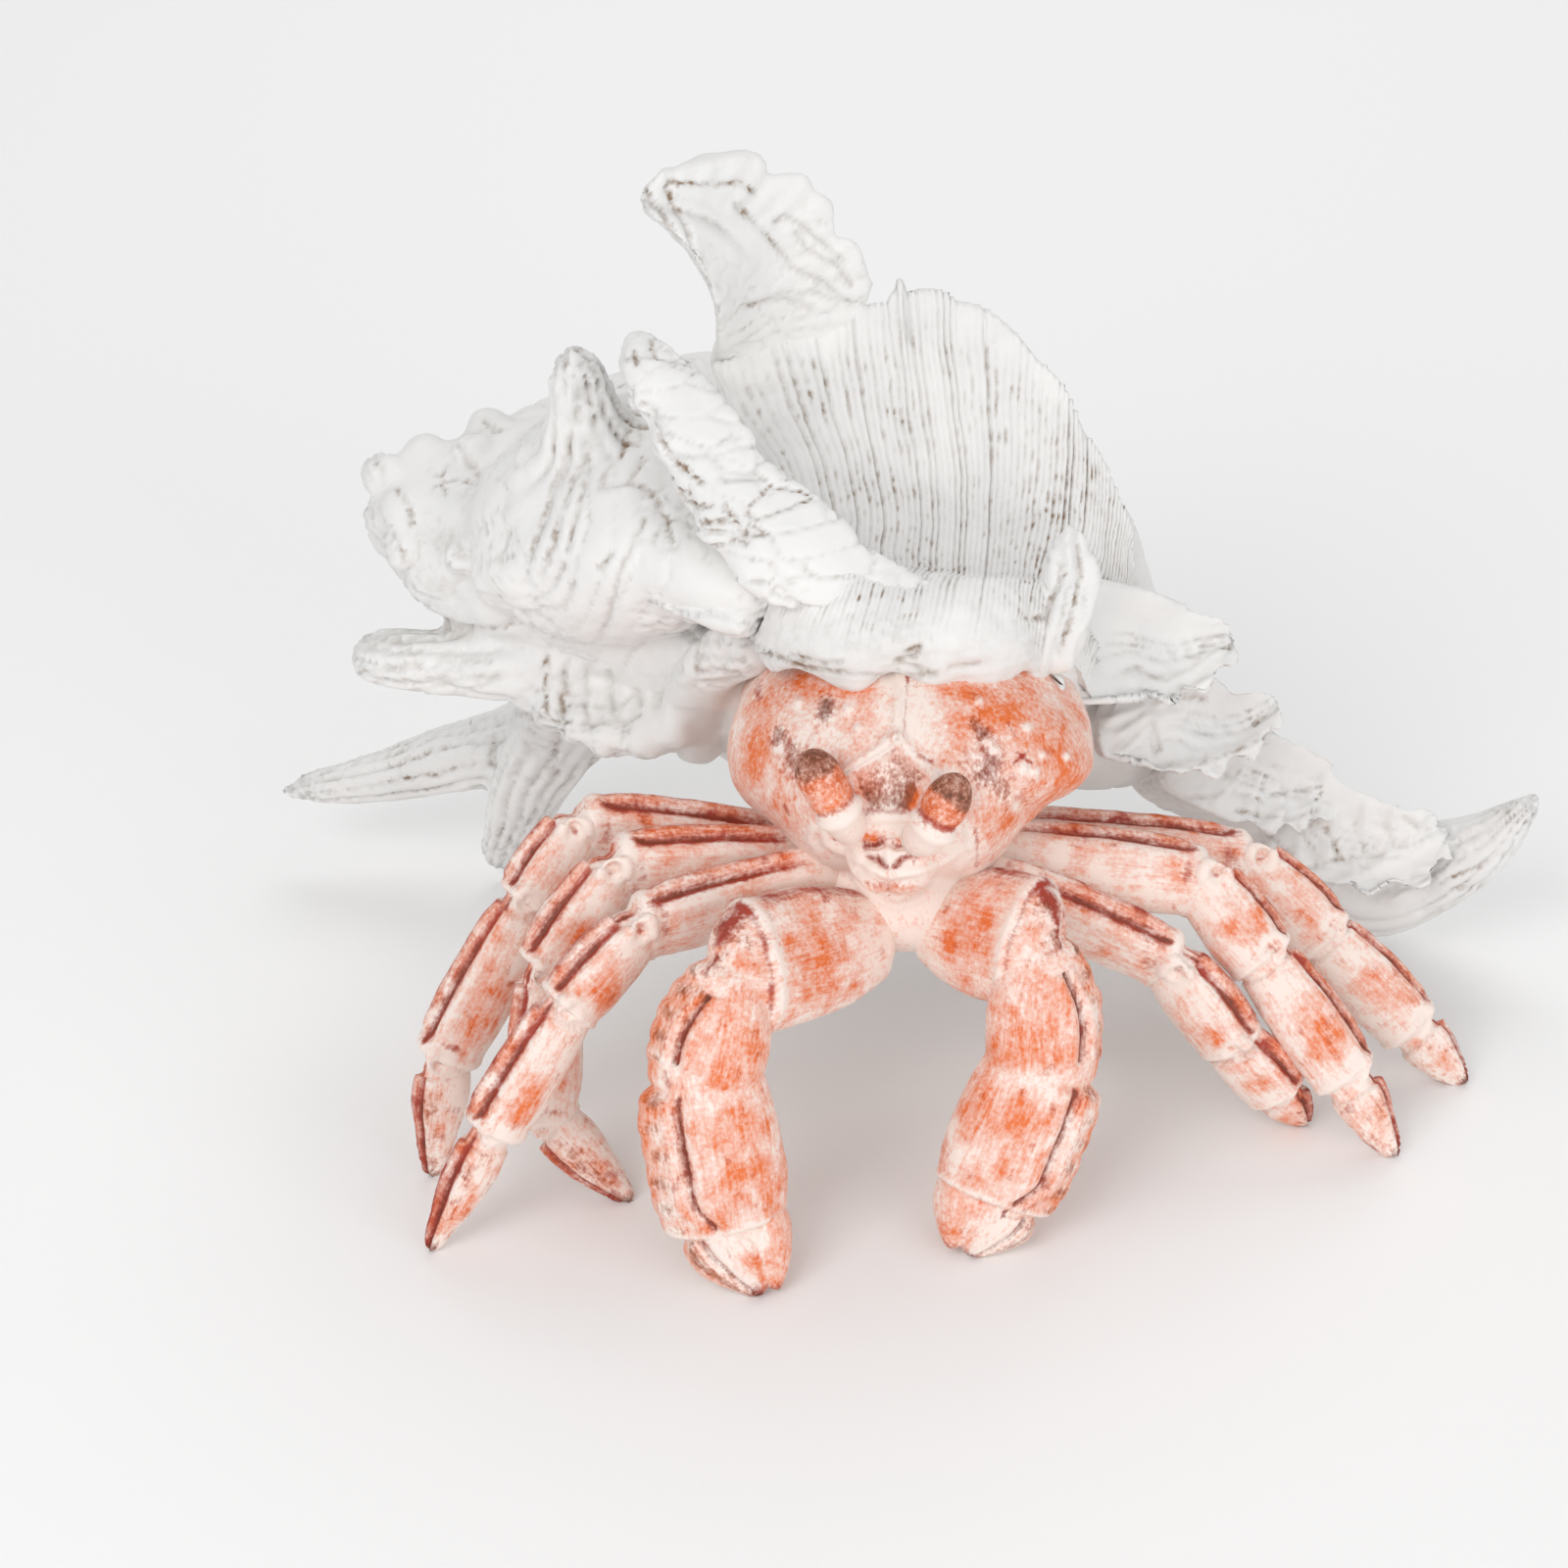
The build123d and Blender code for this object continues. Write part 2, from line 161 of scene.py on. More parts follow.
LIP_RIB = (
    (-4, -45, 100, 2, 1.5),
    (-17, -43, 102.5, 4.5, 2.6),
    (-29, -38.5, 108, 9, 4.2),
    (-38, -32.5, 116, 7.5, 4),
    (-42.5, -27, 123.5, 6.5, 4),
    (-47, -21, 130, 5.5, 3.8),
    (-51.5, -14, 137.5, 3.8, 3),
)
LIP_SPINE = (
    (12.5, -42, 83, 2.5, 1.8),
    (13.6, -42.5, 88, 4.5, 2.8),
    (15.5, -41, 94, 5.5, 3.2),
    (17.5, -38, 101, 4, 2.4),
    (18.8, -36, 107.5, 1.6, 1.3),
)
LIP_SPUR = (
    (-33, -34, 95, 8, 4),
    (-43, -29, 95.5, 5, 2.6),
    (-52, -22, 96, 1.8, 1.2),
)
CROWN_SPINE = (
    (-18, 24, 92, 20, 13),
    (-19, 20, 104, 15, 9),
    (-20.5, 15, 120, 14, 5),
    (-22.5, 10, 132, 14.5, 3.6),
    (-28, 6, 143, 13.5, 3),
    (-37, 2, 151.5, 10.5, 2.8),
    (-48, -2, 156, 5, 2.5),
)
SIPHON_CANAL = (
    (42, 7, 46, 15, 13),
    (62, 0, 33, 12, 10.5),
    (85, -6, 14, 11, 10),
    (102, -13, 23.5, 8, 6),
    (110.6, -19, 37, 3.5, 2.2),
)
FRONDS = {
    "canal_frond_upper": (
        (18, -24, 80, 12, 7),
        (30, -25, 78, 10, 3),
        (42, -20, 73, 7.5, 2.2),
        (52.5, -18, 73.5, 3.6, 1.8),
    ),
    "canal_frond_middle": (
        (30, -16, 64, 12, 6),
        (40, -20, 60.5, 10, 3),
        (52, -16, 55, 6.5, 2.2),
        (62.5, -14, 58, 3, 1.8),
    ),
    "canal_frond_lower": (
        (46, -6, 48, 10, 6),
        (56, -12, 43, 9, 2.8),
        (66, -10, 38, 7.5, 2),
        (75, -9, 35, 5, 1.6),
    ),
    "canal_frond_end": (
        (66, -6, 32, 9, 6),
        (76, -13, 28, 9, 2.8),
        (86, -15, 26.5, 7.5, 2),
        (95, -14, 29, 4.5, 1.6),
    ),
}
# Columns of the lip and fan in mm from left to right: under the lip, its lower edge, its front, its
# crest, the floor of the dish, its wall and its rim
FAN = (
    ((-33, -22, 89), (-34, -33, 88), (-32.5, -37, 97.5), (-28.5, -36, 109),
     (-35.5, -29, 117), (-41.5, -21, 125.5), (-45, -12, 130.5)),
    ((-30, -31, 89), (-31, -42, 88.5), (-28, -45, 98), (-23, -41, 107.5),
     (-27, -25, 110), (-31, -10, 114), (-33, 6, 121.5)),
    ((-20, -37, 88), (-21, -48, 87.5), (-20, -51, 98), (-16, -43, 105),
     (-16, -24, 101), (-15, -5, 108.5), (-15, 10, 124.5)),
    ((-11, -39, 89), (-11, -50, 89), (-11, -52, 98.5), (-8, -43, 103),
     (-6, -23, 97.5), (-3, -3, 106), (-3, 9, 129)),
    ((-3, -39, 87), (-2.5, -50, 85.5), (-3, -52, 97), (0, -43, 102.5),
     (4, -23, 95.5), (8, -4, 104), (8, 8, 129)),
    ((7, -36, 87), (7, -47, 86), (6, -49, 95.5), (8, -41, 100.5),
     (13, -23, 92.5), (19, -5, 99), (21.5, 4, 118.5)),
    ((12, -31, 82), (12.5, -42, 81), (12.5, -44, 89.5), (15.5, -38, 97),
     (20, -23, 88), (27, -8, 91), (29.5, 0, 106)),
    ((17, -26, 76), (18, -36, 75), (18, -38, 82), (21, -33, 88),
     (25.5, -21, 81), (32, -10, 82), (35, -3, 94)),
    ((22, -22, 69), (22.5, -31, 67.5), (23.5, -32, 73.5), (26.5, -28, 79),
     (30.5, -20, 74), (35, -12, 74), (38, -6, 81)),
)
# Cracks and plate edges of the shell as the photo's view shows them: mm to the right of the view's target and
# up from it, at the target's distance
SHELL_CRACKS = {
    "shell_whorl": (
        ((-36.9, 65.9), (-38.5, 57.9), (-40.8, 53.6), (-43.2, 45.1), (-45.1, 39.8)),
        ((-33.7, 64.8), (-34.2, 59.5), (-37.4, 54.2), (-39, 49.4)), ((-39.8, 47.2), (-40.8, 41.4)),
        ((-40.3, 46.2), (-41.4, 40.9), (-43.2, 36.6)), ((-39.2, 38.7), (-41.6, 33.9), (-45.1, 32.1)),
        ((-35.3, 53.6), (-37.4, 46.2), (-38.2, 41.4)), ((-37.4, 35.5), (-39, 30.8)),
        ((-31, 56.3), (-32.6, 52.8)), ((-30.5, 40.9), (-32.6, 38.2)), ((-27.5, 62.7), (-28.9, 57.9)),
        ((-24.9, 57.4), (-27.3, 53.6)), ((-24.6, 47.2), (-28.9, 38.2), (-32.1, 26)),
        ((-32.6, 52.6), (-27.3, 53.4), (-23.6, 52), (-20.9, 47.2), (-19.8, 43)),
        ((-75.2, 26.2), (-64, 27.6), (-50.2, 27.8), (-43.2, 30.2)),
        ((-74.1, 24.4), (-65.6, 25.7), (-57.6, 27)), ((-75.4, 19.6), (-60.8, 22.2), (-52.3, 21.7)),
        ((-72.5, 18), (-58.7, 19.1), (-51.2, 18.8)), ((-67.7, 15.6), (-57.1, 18.8), (-50.7, 19.1)),
        ((-60.3, 14.3), (-50.2, 19.1)), ((-53.3, 65.1), (-50.7, 62.7)),
        ((-57.6, 60), (-56.5, 57.9), (-54.9, 56.8)), ((-68.5, 52), (-66.6, 49.4), (-65.8, 46.2)),
        ((-69.6, 44.1), (-66.9, 39.8)), ((-58.9, 40.9), (-56.5, 39.8)), ((-58.1, 42.5), (-57.1, 40.3)),
        ((-72, 56.8), (-70.4, 54.7)), ((-18.5, 28.6), (-10.3, 28.4), (-5.5, 26.5)),
        ((-18.2, 28.6), (-15.3, 24.9), (-15.3, 19.6)), ((-15.6, 25.4), (-6.5, 24.4)),
        ((-15.8, 22.8), (-7.1, 21.7)), ((-15.3, 20.1), (-8.1, 19.9)), ((-14.5, 18), (-9.2, 18.3)),
        ((-11.3, 28.1), (-11.9, 25.2)), ((-10.8, 24.4), (-10.3, 21.7)), ((-42.2, 22.2), (-42.1, 12.7)),
        ((-38.5, 21.2), (-39.5, 12.1)), ((-34.7, 20.6), (-35.3, 11.6)), ((-31, 20.1), (-29.9, 11.6)),
        ((-48, 12.7), (-40.6, 11), (-30.5, 11), (-25.2, 12.1)),
        ((-29.4, 12.7), (-26.2, 16.7), (-24.9, 13.7)), ((-51.2, 8.9), (-52.3, 3.6)),
        ((-40, 8.9), (-40.8, 1.5)), ((-33.7, 6.3), (-34.2, 0.4)),
    ),
    "lip_rib": (
        ((-22.2, 62.1), (-20.4, 58.4), (-17.2, 55.8)), ((-19.3, 56.6), (-14.5, 53.6)),
        ((-18.8, 51.5), (-16.1, 49.4), (-12.9, 49.4)), ((-17.2, 44.2), (-11.3, 44.3), (-6.5, 42.7)),
        ((-16.6, 41.4), (-9.2, 42.9)), ((-10.8, 49.4), (-6.5, 44.1)),
        ((-30.2, 78.1), (-29.9, 70.7), (-26.7, 65.9), (-22.5, 57.9)),
        ((-22.5, 57.9), (-18.8, 49.4), (-17.7, 43)), ((-26.7, 76.5), (-26.2, 74.4)),
        ((-25.2, 67.5), (-22.8, 66.4)), ((-28.3, 35.5), (-24.1, 36.3), (-20.9, 35.5)),
        ((-27.3, 33.9), (-23, 32.1), (-17.7, 32.4)), ((-24.6, 33.4), (-24.1, 31.8)),
        ((-21.4, 53.6), (-17.2, 51.5)), ((-14.5, 46.2), (-9.7, 46.7)),
    ),
    "lip_spine": (
        ((52.2, 42), (52.4, 36.5), (50.9, 29.5), (48.6, 23)), ((49.4, 37), (46.6, 30.5), (45.2, 24)),
        ((47.8, 34), (45.6, 29)),
    ),
    "crown_spine": (
        ((-25.1, 105.9), (-19.3, 97.5), (-14.8, 90.5)), ((-20.9, 105.9), (-16.1, 96.2), (-13.5, 88.5)),
        ((-27, 101.4), (-18, 94.3)), ((-20.3, 106.7), (-13.5, 106.3), (-7.8, 106.7), (-4.9, 104.6)),
        ((-8.7, 102.7), (-6.5, 100.4)), ((-1.6, 99.6), (0.3, 100.6), (3.2, 99.1), (10.2, 93)),
        ((1.2, 91.7), (6.4, 89.2), (12.2, 84.7)), ((3.8, 95), (9.6, 91.7), (12.2, 87.9)),
        ((5.1, 87.2), (10.2, 85.3)), ((-7.1, 84.7), (0, 86), (5.1, 84)), ((-7.8, 102.7), (1.2, 92.4)),
        ((2.2, 97.5), (3.8, 95.6)),
    ),
    "shell_fan": (
        ((-9.4, 33.2), (-1.3, 34.8), (3.8, 36.1)), ((-9.4, 33.2), (-8.4, 28.7), (-4.5, 24.9)),
        ((21.8, 23.3), (24.1, 24.4), (23.4, 22.3), (19.9, 21.7)), ((19.9, 21.3), (25.7, 19.7)),
        ((20.2, 19.7), (20.7, 17.2)), ((1.2, 23), (6.4, 21.3), (10.2, 21.7)),
        ((29.5, 20.4), (34.7, 21)), ((43.4, 29.4), (46.3, 29.5)),
        ((-4.5, 24.2), (5.1, 20.4), (16.7, 19), (27, 19.4)),
    ),
    "siphon_canal": (
        ((63.4, 19.4), (68, 18.4), (73.3, 21.4), (78, 24.7)),
        ((60, 10.1), (66, 14.1), (70.7, 16.7), (75.3, 19.4)),
        ((64.7, 12.7), (71.3, 15.4), (74.7, 15.1)), ((72, 23.4), (74, 22.1)),
        ((74.7, 24.7), (80, 24.4)), ((60, 6.1), (65.4, 11.4), (66.7, 6.1)),
        ((72, 2.8), (80.7, 6.1), (87.3, 9.4)), ((74.7, 4.8), (78.7, 1.4)), ((83.3, 10.8), (87.3, 13.4)),
        ((70.7, -2.6), (77.3, -1.9), (81.3, 2.8)), ((86.6, -1.9), (93.3, -0.9)),
        ((80.7, -4.5), (89.3, -6.2), (94.6, -4.5)), ((85.3, -8.5), (91.3, -13.5)),
        ((91.3, -7.2), (94.6, -13.2)), ((96.6, -7.9), (98.6, -13.2)), ((101.3, -7.2), (103.3, -12.5)),
        ((106.6, -7.2), (108.6, -11.2)), ((109.9, -5.9), (112.6, -7.9)),
        ((92.6, -15.2), (96.6, -13.5), (106.6, -12.5)),
        ((107.9, -19.8), (114.6, -16.5), (120.6, -12.5)), ((111.2, -15.9), (116.6, -15.5)),
        ((117.2, -17.2), (127.9, -12.5)), ((118.6, -19.2), (126.5, -17.8)),
        ((113.2, -23.5), (123.2, -20.5)),
    ),
}
CRACK_WIDTH = 0.45
# Raised edges of the ridge beside the lip, in the same view
LIP_RIDGES = (
    ((50.7, 45.3), (50.4, 38.7), (48.1, 30), (46.1, 22.1), (44.7, 16.7)),
    ((54, 40), (54.7, 35.4), (53.7, 30), (51.4, 26.7), (50.1, 20.7)),
)
# Raised edges and flutes of the fronds, and the scoops between them with radius and depth, in that view
FROND_FOLDS = (
    ((44.7, 17.4), (50.1, 14.7), (52.7, 12.4), (57.4, 11.7), (64, 13.4)),
    ((63.4, 19.4), (68, 18.4), (73.3, 21.4), (78, 24.7)),
    ((60, 9.4), (66, 13.4), (70.7, 16.1), (75.3, 18.7)), ((54.7, 11.4), (57, 4.8), (57.4, -1.6)),
    ((58, -1.6), (66, 2.1), (72, 2.8), (80.7, 6.1), (87.3, 9.4)), ((60, 6.1), (65.4, 11.4), (72, 12.7)),
    ((81.3, 2.8), (77.3, -2.2)), ((85.3, 2.8), (83, -4.5)), ((89.3, 1.4), (88, -5.9)),
    ((93.6, -0.6), (92.6, -4.5)), ((88, -5.2), (85, -8.9)), ((92.6, -4.5), (91, -13.5)),
    ((97.9, -4.2), (96.6, -13.2)), ((103.3, -4.2), (101.6, -14.2)), ((108.3, -4.5), (106.9, -12.2)),
    ((112.6, -6.2), (110.6, -10.5)), ((97.9, -17.8), (107.9, -13.2), (117.9, -8.2), (122.6, -7.9)),
    ((107.9, -19.8), (115.2, -16.9), (121.2, -12.2)),
)
FROND_SCOOPS = (
    ((62.7, 20.7), 11, 1.4),
    ((54.7, 19.4), 9, 1),
    ((69.3, 8.8), 8, 1.6),
    ((61.4, 2.8), 6, 1.2),
    ((85.3, -0.6), 7, 1.2),
    ((103.3, -17.2), 9, 1.2),
)
HEAD = (
    (-15, -62.5, 60.5, 8, 6),
    (-14, -58.5, 63, 18, 13),
    (-11.5, -50, 66.5, 27.5, 20),
    (-8.7, -38, 69, 30.5, 21.5),
    (-8, -22, 69, 27, 20),
    (-8, -4, 68, 21, 17),
)
CHEST = (
    (-13, -57.5, 50, 8, 6),
    (-12, -52, 48.5, 15, 9.5),
    (-10.5, -42, 48, 22, 12),
    (-9.5, -28, 48, 22, 12),
    (-9, -12, 50, 15, 9),
)
MOUTH = (
    (-15.5, -57, 63, 8, 6),
    (-16, -62.5, 61, 7, 5.5),
    (-16.2, -66, 59.5, 4.5, 3.5),
)
# Eyestalks: root in the head, collar and cap
EYES = {
    "left_eye": ((-22, -57, 66), (-25.5, -63, 73), (-29, -61.5, 80)),
    "right_eye": ((-12, -58, 64), (-11.2, -69, 72.3), (-8.4, -69, 77.8)),
}
EYE_RADIUS = 3.7
# Raised rings on the joints of the walking legs
RING_RADIUS = 2.1
RING_THICKNESS = 0.9
# Hip, knee, wrist, ankle and toe of each walking leg
LEGS = {
    "left_front_leg": ((-24, -48, 52), (-58, -59, 52), (-70, -64, 42),
                       (-83.5, -68, 22), (-95, -70.5, 0.4)),
    "left_middle_leg": ((-24.5, -40.5, 50), (-60, -47.5, 56.5), (-72, -53, 42.5),
                        (-74, -57, 16), (-60.5, -62, 0.4)),
    "left_rear_leg": ((-24.5, -33, 47), (-64.5, -36, 58), (-73, -40, 48),
                      (-89, -45, 21.5), (-92.5, -49.5, 0.4)),
    "right_front_leg": ((2, -48, 49), (32.5, -57, 34.5), (43, -60, 19.5),
                        (51, -61, 9.5), (57, -60, 0.4)),
    "right_middle_leg": ((4, -40.5, 49), (40.5, -47, 43), (49, -55, 32.5),
                         (62, -66, 14), (69.5, -72, 0.4)),
    "right_rear_leg": ((5, -33, 47), (52, -35, 38), (64, -41, 26.5),
                       (79, -48, 10.5), (88, -53, 0.4)),
}
LEG_SIZES = ((6.4, 4.1), (6.2, 4.6), (6, 4.5), (4.6, 3.6))
# Shoulder, elbow, wrist, knuckle and finger tip of each claw
CLAWS = {
    "left_claw": ((-17, -54, 43), (-46, -75.5, 52), (-51, -80, 34.5), (-48, -85, 12), (-42.5, -92.5, 0.6)),
    "right_claw": ((-7, -52, 44), (7, -72, 49), (6, -78, 28), (-2.5, -83, 10), (-9, -87.5, 0.6)),
}
CLAW_SIZES = ((11, 6.2), (9.6, 6.4), (11.2, 7))
# Fingers of a claw, outer and inner: half width, half thickness, place beside the knuckle and the tip
FINGERS = ((6.6, 5.2, 3.4, 0.6), (4.4, 4.6, -6, -1.8))

# Swell of a limb segment along its length: place, share of its fullest size
LEG_SWELL = ((0, 0.7), (0.12, 0.84), (0.4, 1), (0.8, 1), (1, 0.86))
CLAW_SWELLS = (
    ((0, 0.6), (0.3, 0.9), (0.6, 1), (0.85, 0.9), (1, 0.5)),
    ((0, 0.48), (0.15, 0.68), (0.4, 0.95), (0.7, 1), (1, 0.88)),
    ((0, 0.86), (0.15, 0.94), (0.5, 1), (0.8, 0.98), (1, 0.84)),
)
POINT_SWELL = ((0, 0.85), (0.3, 1), (0.65, 0.72), (1, 0.22))

# Lines and spots of the face, in mm to the right of the nose and up from it
FACE_GROOVES = (
    ((1.9, 31), (1.6, 25), (1.2, 19.4)), ((1.2, 19.4), (-2, 17.4), (-7.2, 14.3)),
    ((1.2, 19.4), (4.1, 16.3), (7.2, 13.7)),
)
FACE_FOLDS = (
    ((-12.5, 5.4), (-13.3, 3), (-10.5, -0.3), (-6.4, -1.5)), ((-10.9, 5.4), (-10.5, 2.6), (-5.6, -0.3)),
    ((12.5, 4.4), (13.5, 1), (11.5, -1.4)),
    ((-6, 1.7), (-4, -0.8), (-0.3, -2.4), (4.1, -2), (9, -0.3), (12.6, 2.2)), ((-5, 6.9), (3.6, 6.9)),
    ((-3.1, 1.5), (2.7, 1.5)), ((-0.3, 3), (-0.3, 0)),
    ((-5.6, -2.7), (-4, -5.1), (-0.8, -7.2), (1.3, -8), (5.7, -6.4), (7.8, -3.9)),
)
# Dark strokes pressed in round the mouth: line, half width and depth
FACE_PITS = (
    (((-4, 2.5), (-2.4, 2.2), (-1.3, 2.9)), 0.7, 1),
    (((-0.1, 3), (1.2, 2.1), (3.2, 2.3)), 0.7, 1),
    (((-3.6, 0.7), (-2, 0.3), (-0.9, -0.9)), 0.85, 1),
    (((3.2, 1.1), (1.9, 0.4), (0.8, -0.9)), 0.8, 1),
    (((-4, -3.7), (-1.4, -3.9)), 1, 0.5),
    (((1.2, -3.8), (3.6, -3.6)), 1, 0.45),
    (((-0.2, -4), (-0.2, -6.4)), 0.45, 0.4),
)
# Outline of the sunken brow
BROW = ((1.3, 18.6), (7, 14.2), (3.2, 7.4), (-4.2, 7.4), (-7, 14))
FACE_DOTS = (
    (14.3, 25.7), (22.2, 21.4), (24.8, 17.2), (21.6, 14.9), (23.6, 14.3), (15.7, 19.2), (16.9, 17.8),
    (28.9, 16.9), (20.5, 8.8), (-5.2, 21.4), (-6.8, 24.5), (-14.9, 25.7), (-18.2, 18), (-11.9, 20),
    (-0.8, 19.6),
)
# Paint strokes of the face: line, half width and amount
FACE_ORANGE = (
    (((-15, 29), (-4, 28)), 2.6, 0.55),
    (((-20.5, 24), (-22, 14)), 2.4, 0.5),
    (((12, 22), (19, 22.5)), 3.2, 0.5),
    (((27, 21), (30, 14), (24, 7)), 4.5, 0.55),
    (((10, 28), (22, 26)), 2.8, 0.4),
    (((3.4, 9.4), (3.6, 11)), 1.2, 0.9),
    (((-18, 10), (-16, 6)), 3, 0.25),
    (((16, 6), (18, 1)), 3.5, 0.35),
    (((-4, -4.4), (4, -4.4)), 1.4, 0.6),
    (((-4.6, 4), (-2.6, 3.6)), 0.9, 0.9),
    (((1.6, 3.4), (3.6, 3.4)), 0.9, 0.8),
    (((4.6, 1.4), (6, 0.6)), 1.2, 0.5),
)
FACE_RED = (
    (((-4, 7.8), (3, 7.8)), 0.55, 0.75),
    (((2.7, 30), (2.3, 24.5), (2, 19.8)), 0.4, 0.85),
    (((-7.6, 13.4), (-2.4, 16.4), (1.2, 18.4)), 0.35, 0.6),
    (((1.6, 19.3), (4, 17.2), (6.6, 15.9)), 0.45, 0.9),
    (((19.1, 22.3), (20.2, 20.2)), 0.3, 0.8),
    (((20.4, 17.6), (22.8, 15.8)), 0.3, 0.8),
    (((20, 15.8), (22.4, 17.8)), 0.3, 0.7),
    (((13.9, 5.2), (14.4, -0.9)), 0.5, 0.7),
    (((-17.2, 9), (-16.4, 7.4)), 0.4, 0.8),
    (((-9, 3.4), (-6.4, 4)), 0.35, 0.8),
    # This dark red stroke along the top left edge of the face, under the shell's lip, is partly red paint and
    # partly painted shadow of the lip
    (((-22, 31), (-21.4, 27)), 1, 0.8),
    (((3.4, -1), (5.4, 2.4)), 0.5, 0.5),
)
FACE_BROWN = (
    (((-10.3, 25.6), (-10.6, 23.6)), 1.5, 0.95),
    (((-18, 21), (-18.4, 19)), 1.3, 0.8),
    (((-15.8, 18.5), (-16.2, 15.5)), 1.5, 0.55),
    (((13.6, 22.2), (14.6, 21)), 1.3, 0.7),
    (((15.4, 19.5), (16.6, 16.8)), 1.7, 0.6),
    (((16.5, 14), (18.6, 11)), 2.4, 0.55),
    (((-3, 9.4), (2, 10.4)), 2.4, 0.22),
    (((-14.5, 12.5), (-14, 16.5)), 1.8, 0.4),
    (((11.5, 15.5), (14, 14)), 2.4, 0.4),
)


# Soft lumps of a surface in mm: height, size and where in the noise they are taken from
FACE_LUMPS = ((0.25, 12.0, 0.0), (0.12, 4.0, 3.0), (0.06, 1.6, 7.0))
SHELL_LUMPS = ((0.7, 17.0, 0.0), (0.4, 7.0, 5.0), (0.2, 3.2, 9.0))
LIP_LUMPS = ((0.5, 6.0, 12.0), (0.25, 2.8, 17.0))
LIMB_LUMPS = ((0.25, 6.0, 0.0), (0.12, 2.4, 3.0))

# Ridges and grooves round a limb: height in mm, turn and width in degrees
LEG_KEEL = ((0.7, -4, 14), (0.4, 42, 14), (-0.8, 19, 8))
FINGER_RIDGES = ((0.5, 70, 12), (-0.7, 52, 8))
# Segments of a claw in the order that they are made, and the last one of a leg
UPPER_ARM, FOREARM, HAND, FINGER, THUMB = range(5)
TOE = 3

# Cells of the sheet of the fan across and up, its wall in mm and the share of it that the rim keeps
FAN_CELLS = (384, 120)
FAN_WALL = 4.0
FAN_RIM_SHARE = 0.25
# Shares of the carving step that the finer pieces of the shell and the mouth are carved in
FINE_SHARE = 0.75
MOUTH_SHARE = 0.6

# Places along a loft that points are compared with, and how many points at once
LOFT_SAMPLES = 160
POINTS_AT_ONCE = 20000

# Lamps: place in m, size in m and power in W, all aimed at the middle of the figurine
LAMPS = {
    "key": ((-0.7, -0.8, 0.8), 0.7, 5.2),
    "fill": ((0.5, -1.1, 0.25), 0.9, 5.1),
    "back": ((0.2, 0.8, 1.0), 0.8, 3.5),
}
LAMP_AIM = (0.0, 0.0, 0.06)
SKY_STRENGTH = 0.56
FLOOR_REACH = 4.0
FILM_WIDTH = 36.0


def srgb(code):
    """An sRGB hex colour as linear red, green, blue and alpha."""
    parts = [int(code[place:place + 2], 16) / 255 for place in (1, 3, 5)]
    return tuple(p / 12.92 if p <= 0.04045 else ((p + 0.055) / 1.055) ** 2.4 for p in parts) + (1.0,)


def colour_property(name, description, code):
    return FloatVectorProperty(name=name, description=description, subtype="COLOR", size=4,
                               min=0.0, max=1.0, default=srgb(code))


def length_property(name, description, size):
    """A length that is given in mm."""
    return FloatProperty(name=name, description=description, unit="LENGTH", precision=5, default=size * MM)


def angle_property(name, description, degrees):
    return FloatProperty(name=name, description=description, subtype="ANGLE", default=math.radians(degrees))


class FigurineCrab(bpy.types.PropertyGroup):
    """Paint and carving of the crab."""
    ground: colour_property("Ground", "Pale ground coat of the crab", "#f6e6dd")
    orange: colour_property("Orange", "Dry-brushed orange", "#e6702f")
    red: colour_property("Red", "Red glaze along the ridges", "#a83a28")
    brown: colour_property("Brown", "Dark brown of the eyes and spots", "#643620")
    carving: length_property("Carving step", "Size of the cells that the carved crab is made of", 0.45)


class FigurineShell(bpy.types.PropertyGroup):
    """Whitewash and carving of the shell."""
    chalk: colour_property("Chalk", "Whitewash of the shell", "#eeedeb")
    shade: colour_property("Shade", "Greyer patches of the whitewash", "#d9d9d9")
    wash: colour_property("Wash", "Brown wash in the cracks", "#8d7560")
    carving: length_property("Carving step", "Size of the cells that the carved shell is made of", 0.95)
    rib_spacing: length_property("Rib spacing", "Distance between the fine ribs of the fan", 1.7)


class FigurineStage(bpy.types.PropertyGroup):
    """Camera and light."""
    azimuth: angle_property("Azimuth", "Camera's turn about the figurine", -10)
    elevation: angle_property("Elevation", "Camera's height above the level", 30)
    distance: length_property("Distance", "Camera to the point that it looks at", VIEW_DISTANCE)
    lens: FloatProperty(name="Lens", description="Focal length on a 36 mm frame", default=98.39)
    target: FloatVectorProperty(name="Target", description="Point that the camera looks at",
                                default=[value * MM for value in VIEW_TARGET], subtype="XYZ")
    floor: colour_property("Floor", "Pale floor", "#fbfbfb")


def unit(vectors):
    """Vectors of length 1."""
    return vectors / np.maximum(np.linalg.norm(vectors, axis=-1, keepdims=True), 1e-9)


def ease(low, high, values):
    """A smooth rise from 0 at low to 1 at high."""
    share = np.clip((values - low) / (high - low), 0.0, 1.0)
    return share * share * (3.0 - 2.0 * share)


def bell(values, centre, width):
    """A smooth hump of height 1."""
    return np.exp(-(((values - centre) / width) ** 2))


def bell_round(turns, centre, width):
    """A smooth hump at an angle round a limb, in degrees."""
    apart = (turns - centre + 180.0) % 360.0 - 180.0
    return np.exp(-((apart / width) ** 2))


def humps(turns, rows):
    """Humps round a limb, summed: height, turn and width."""
    return sum(height * bell_round(turns, centre, width) for height, centre, width in rows)


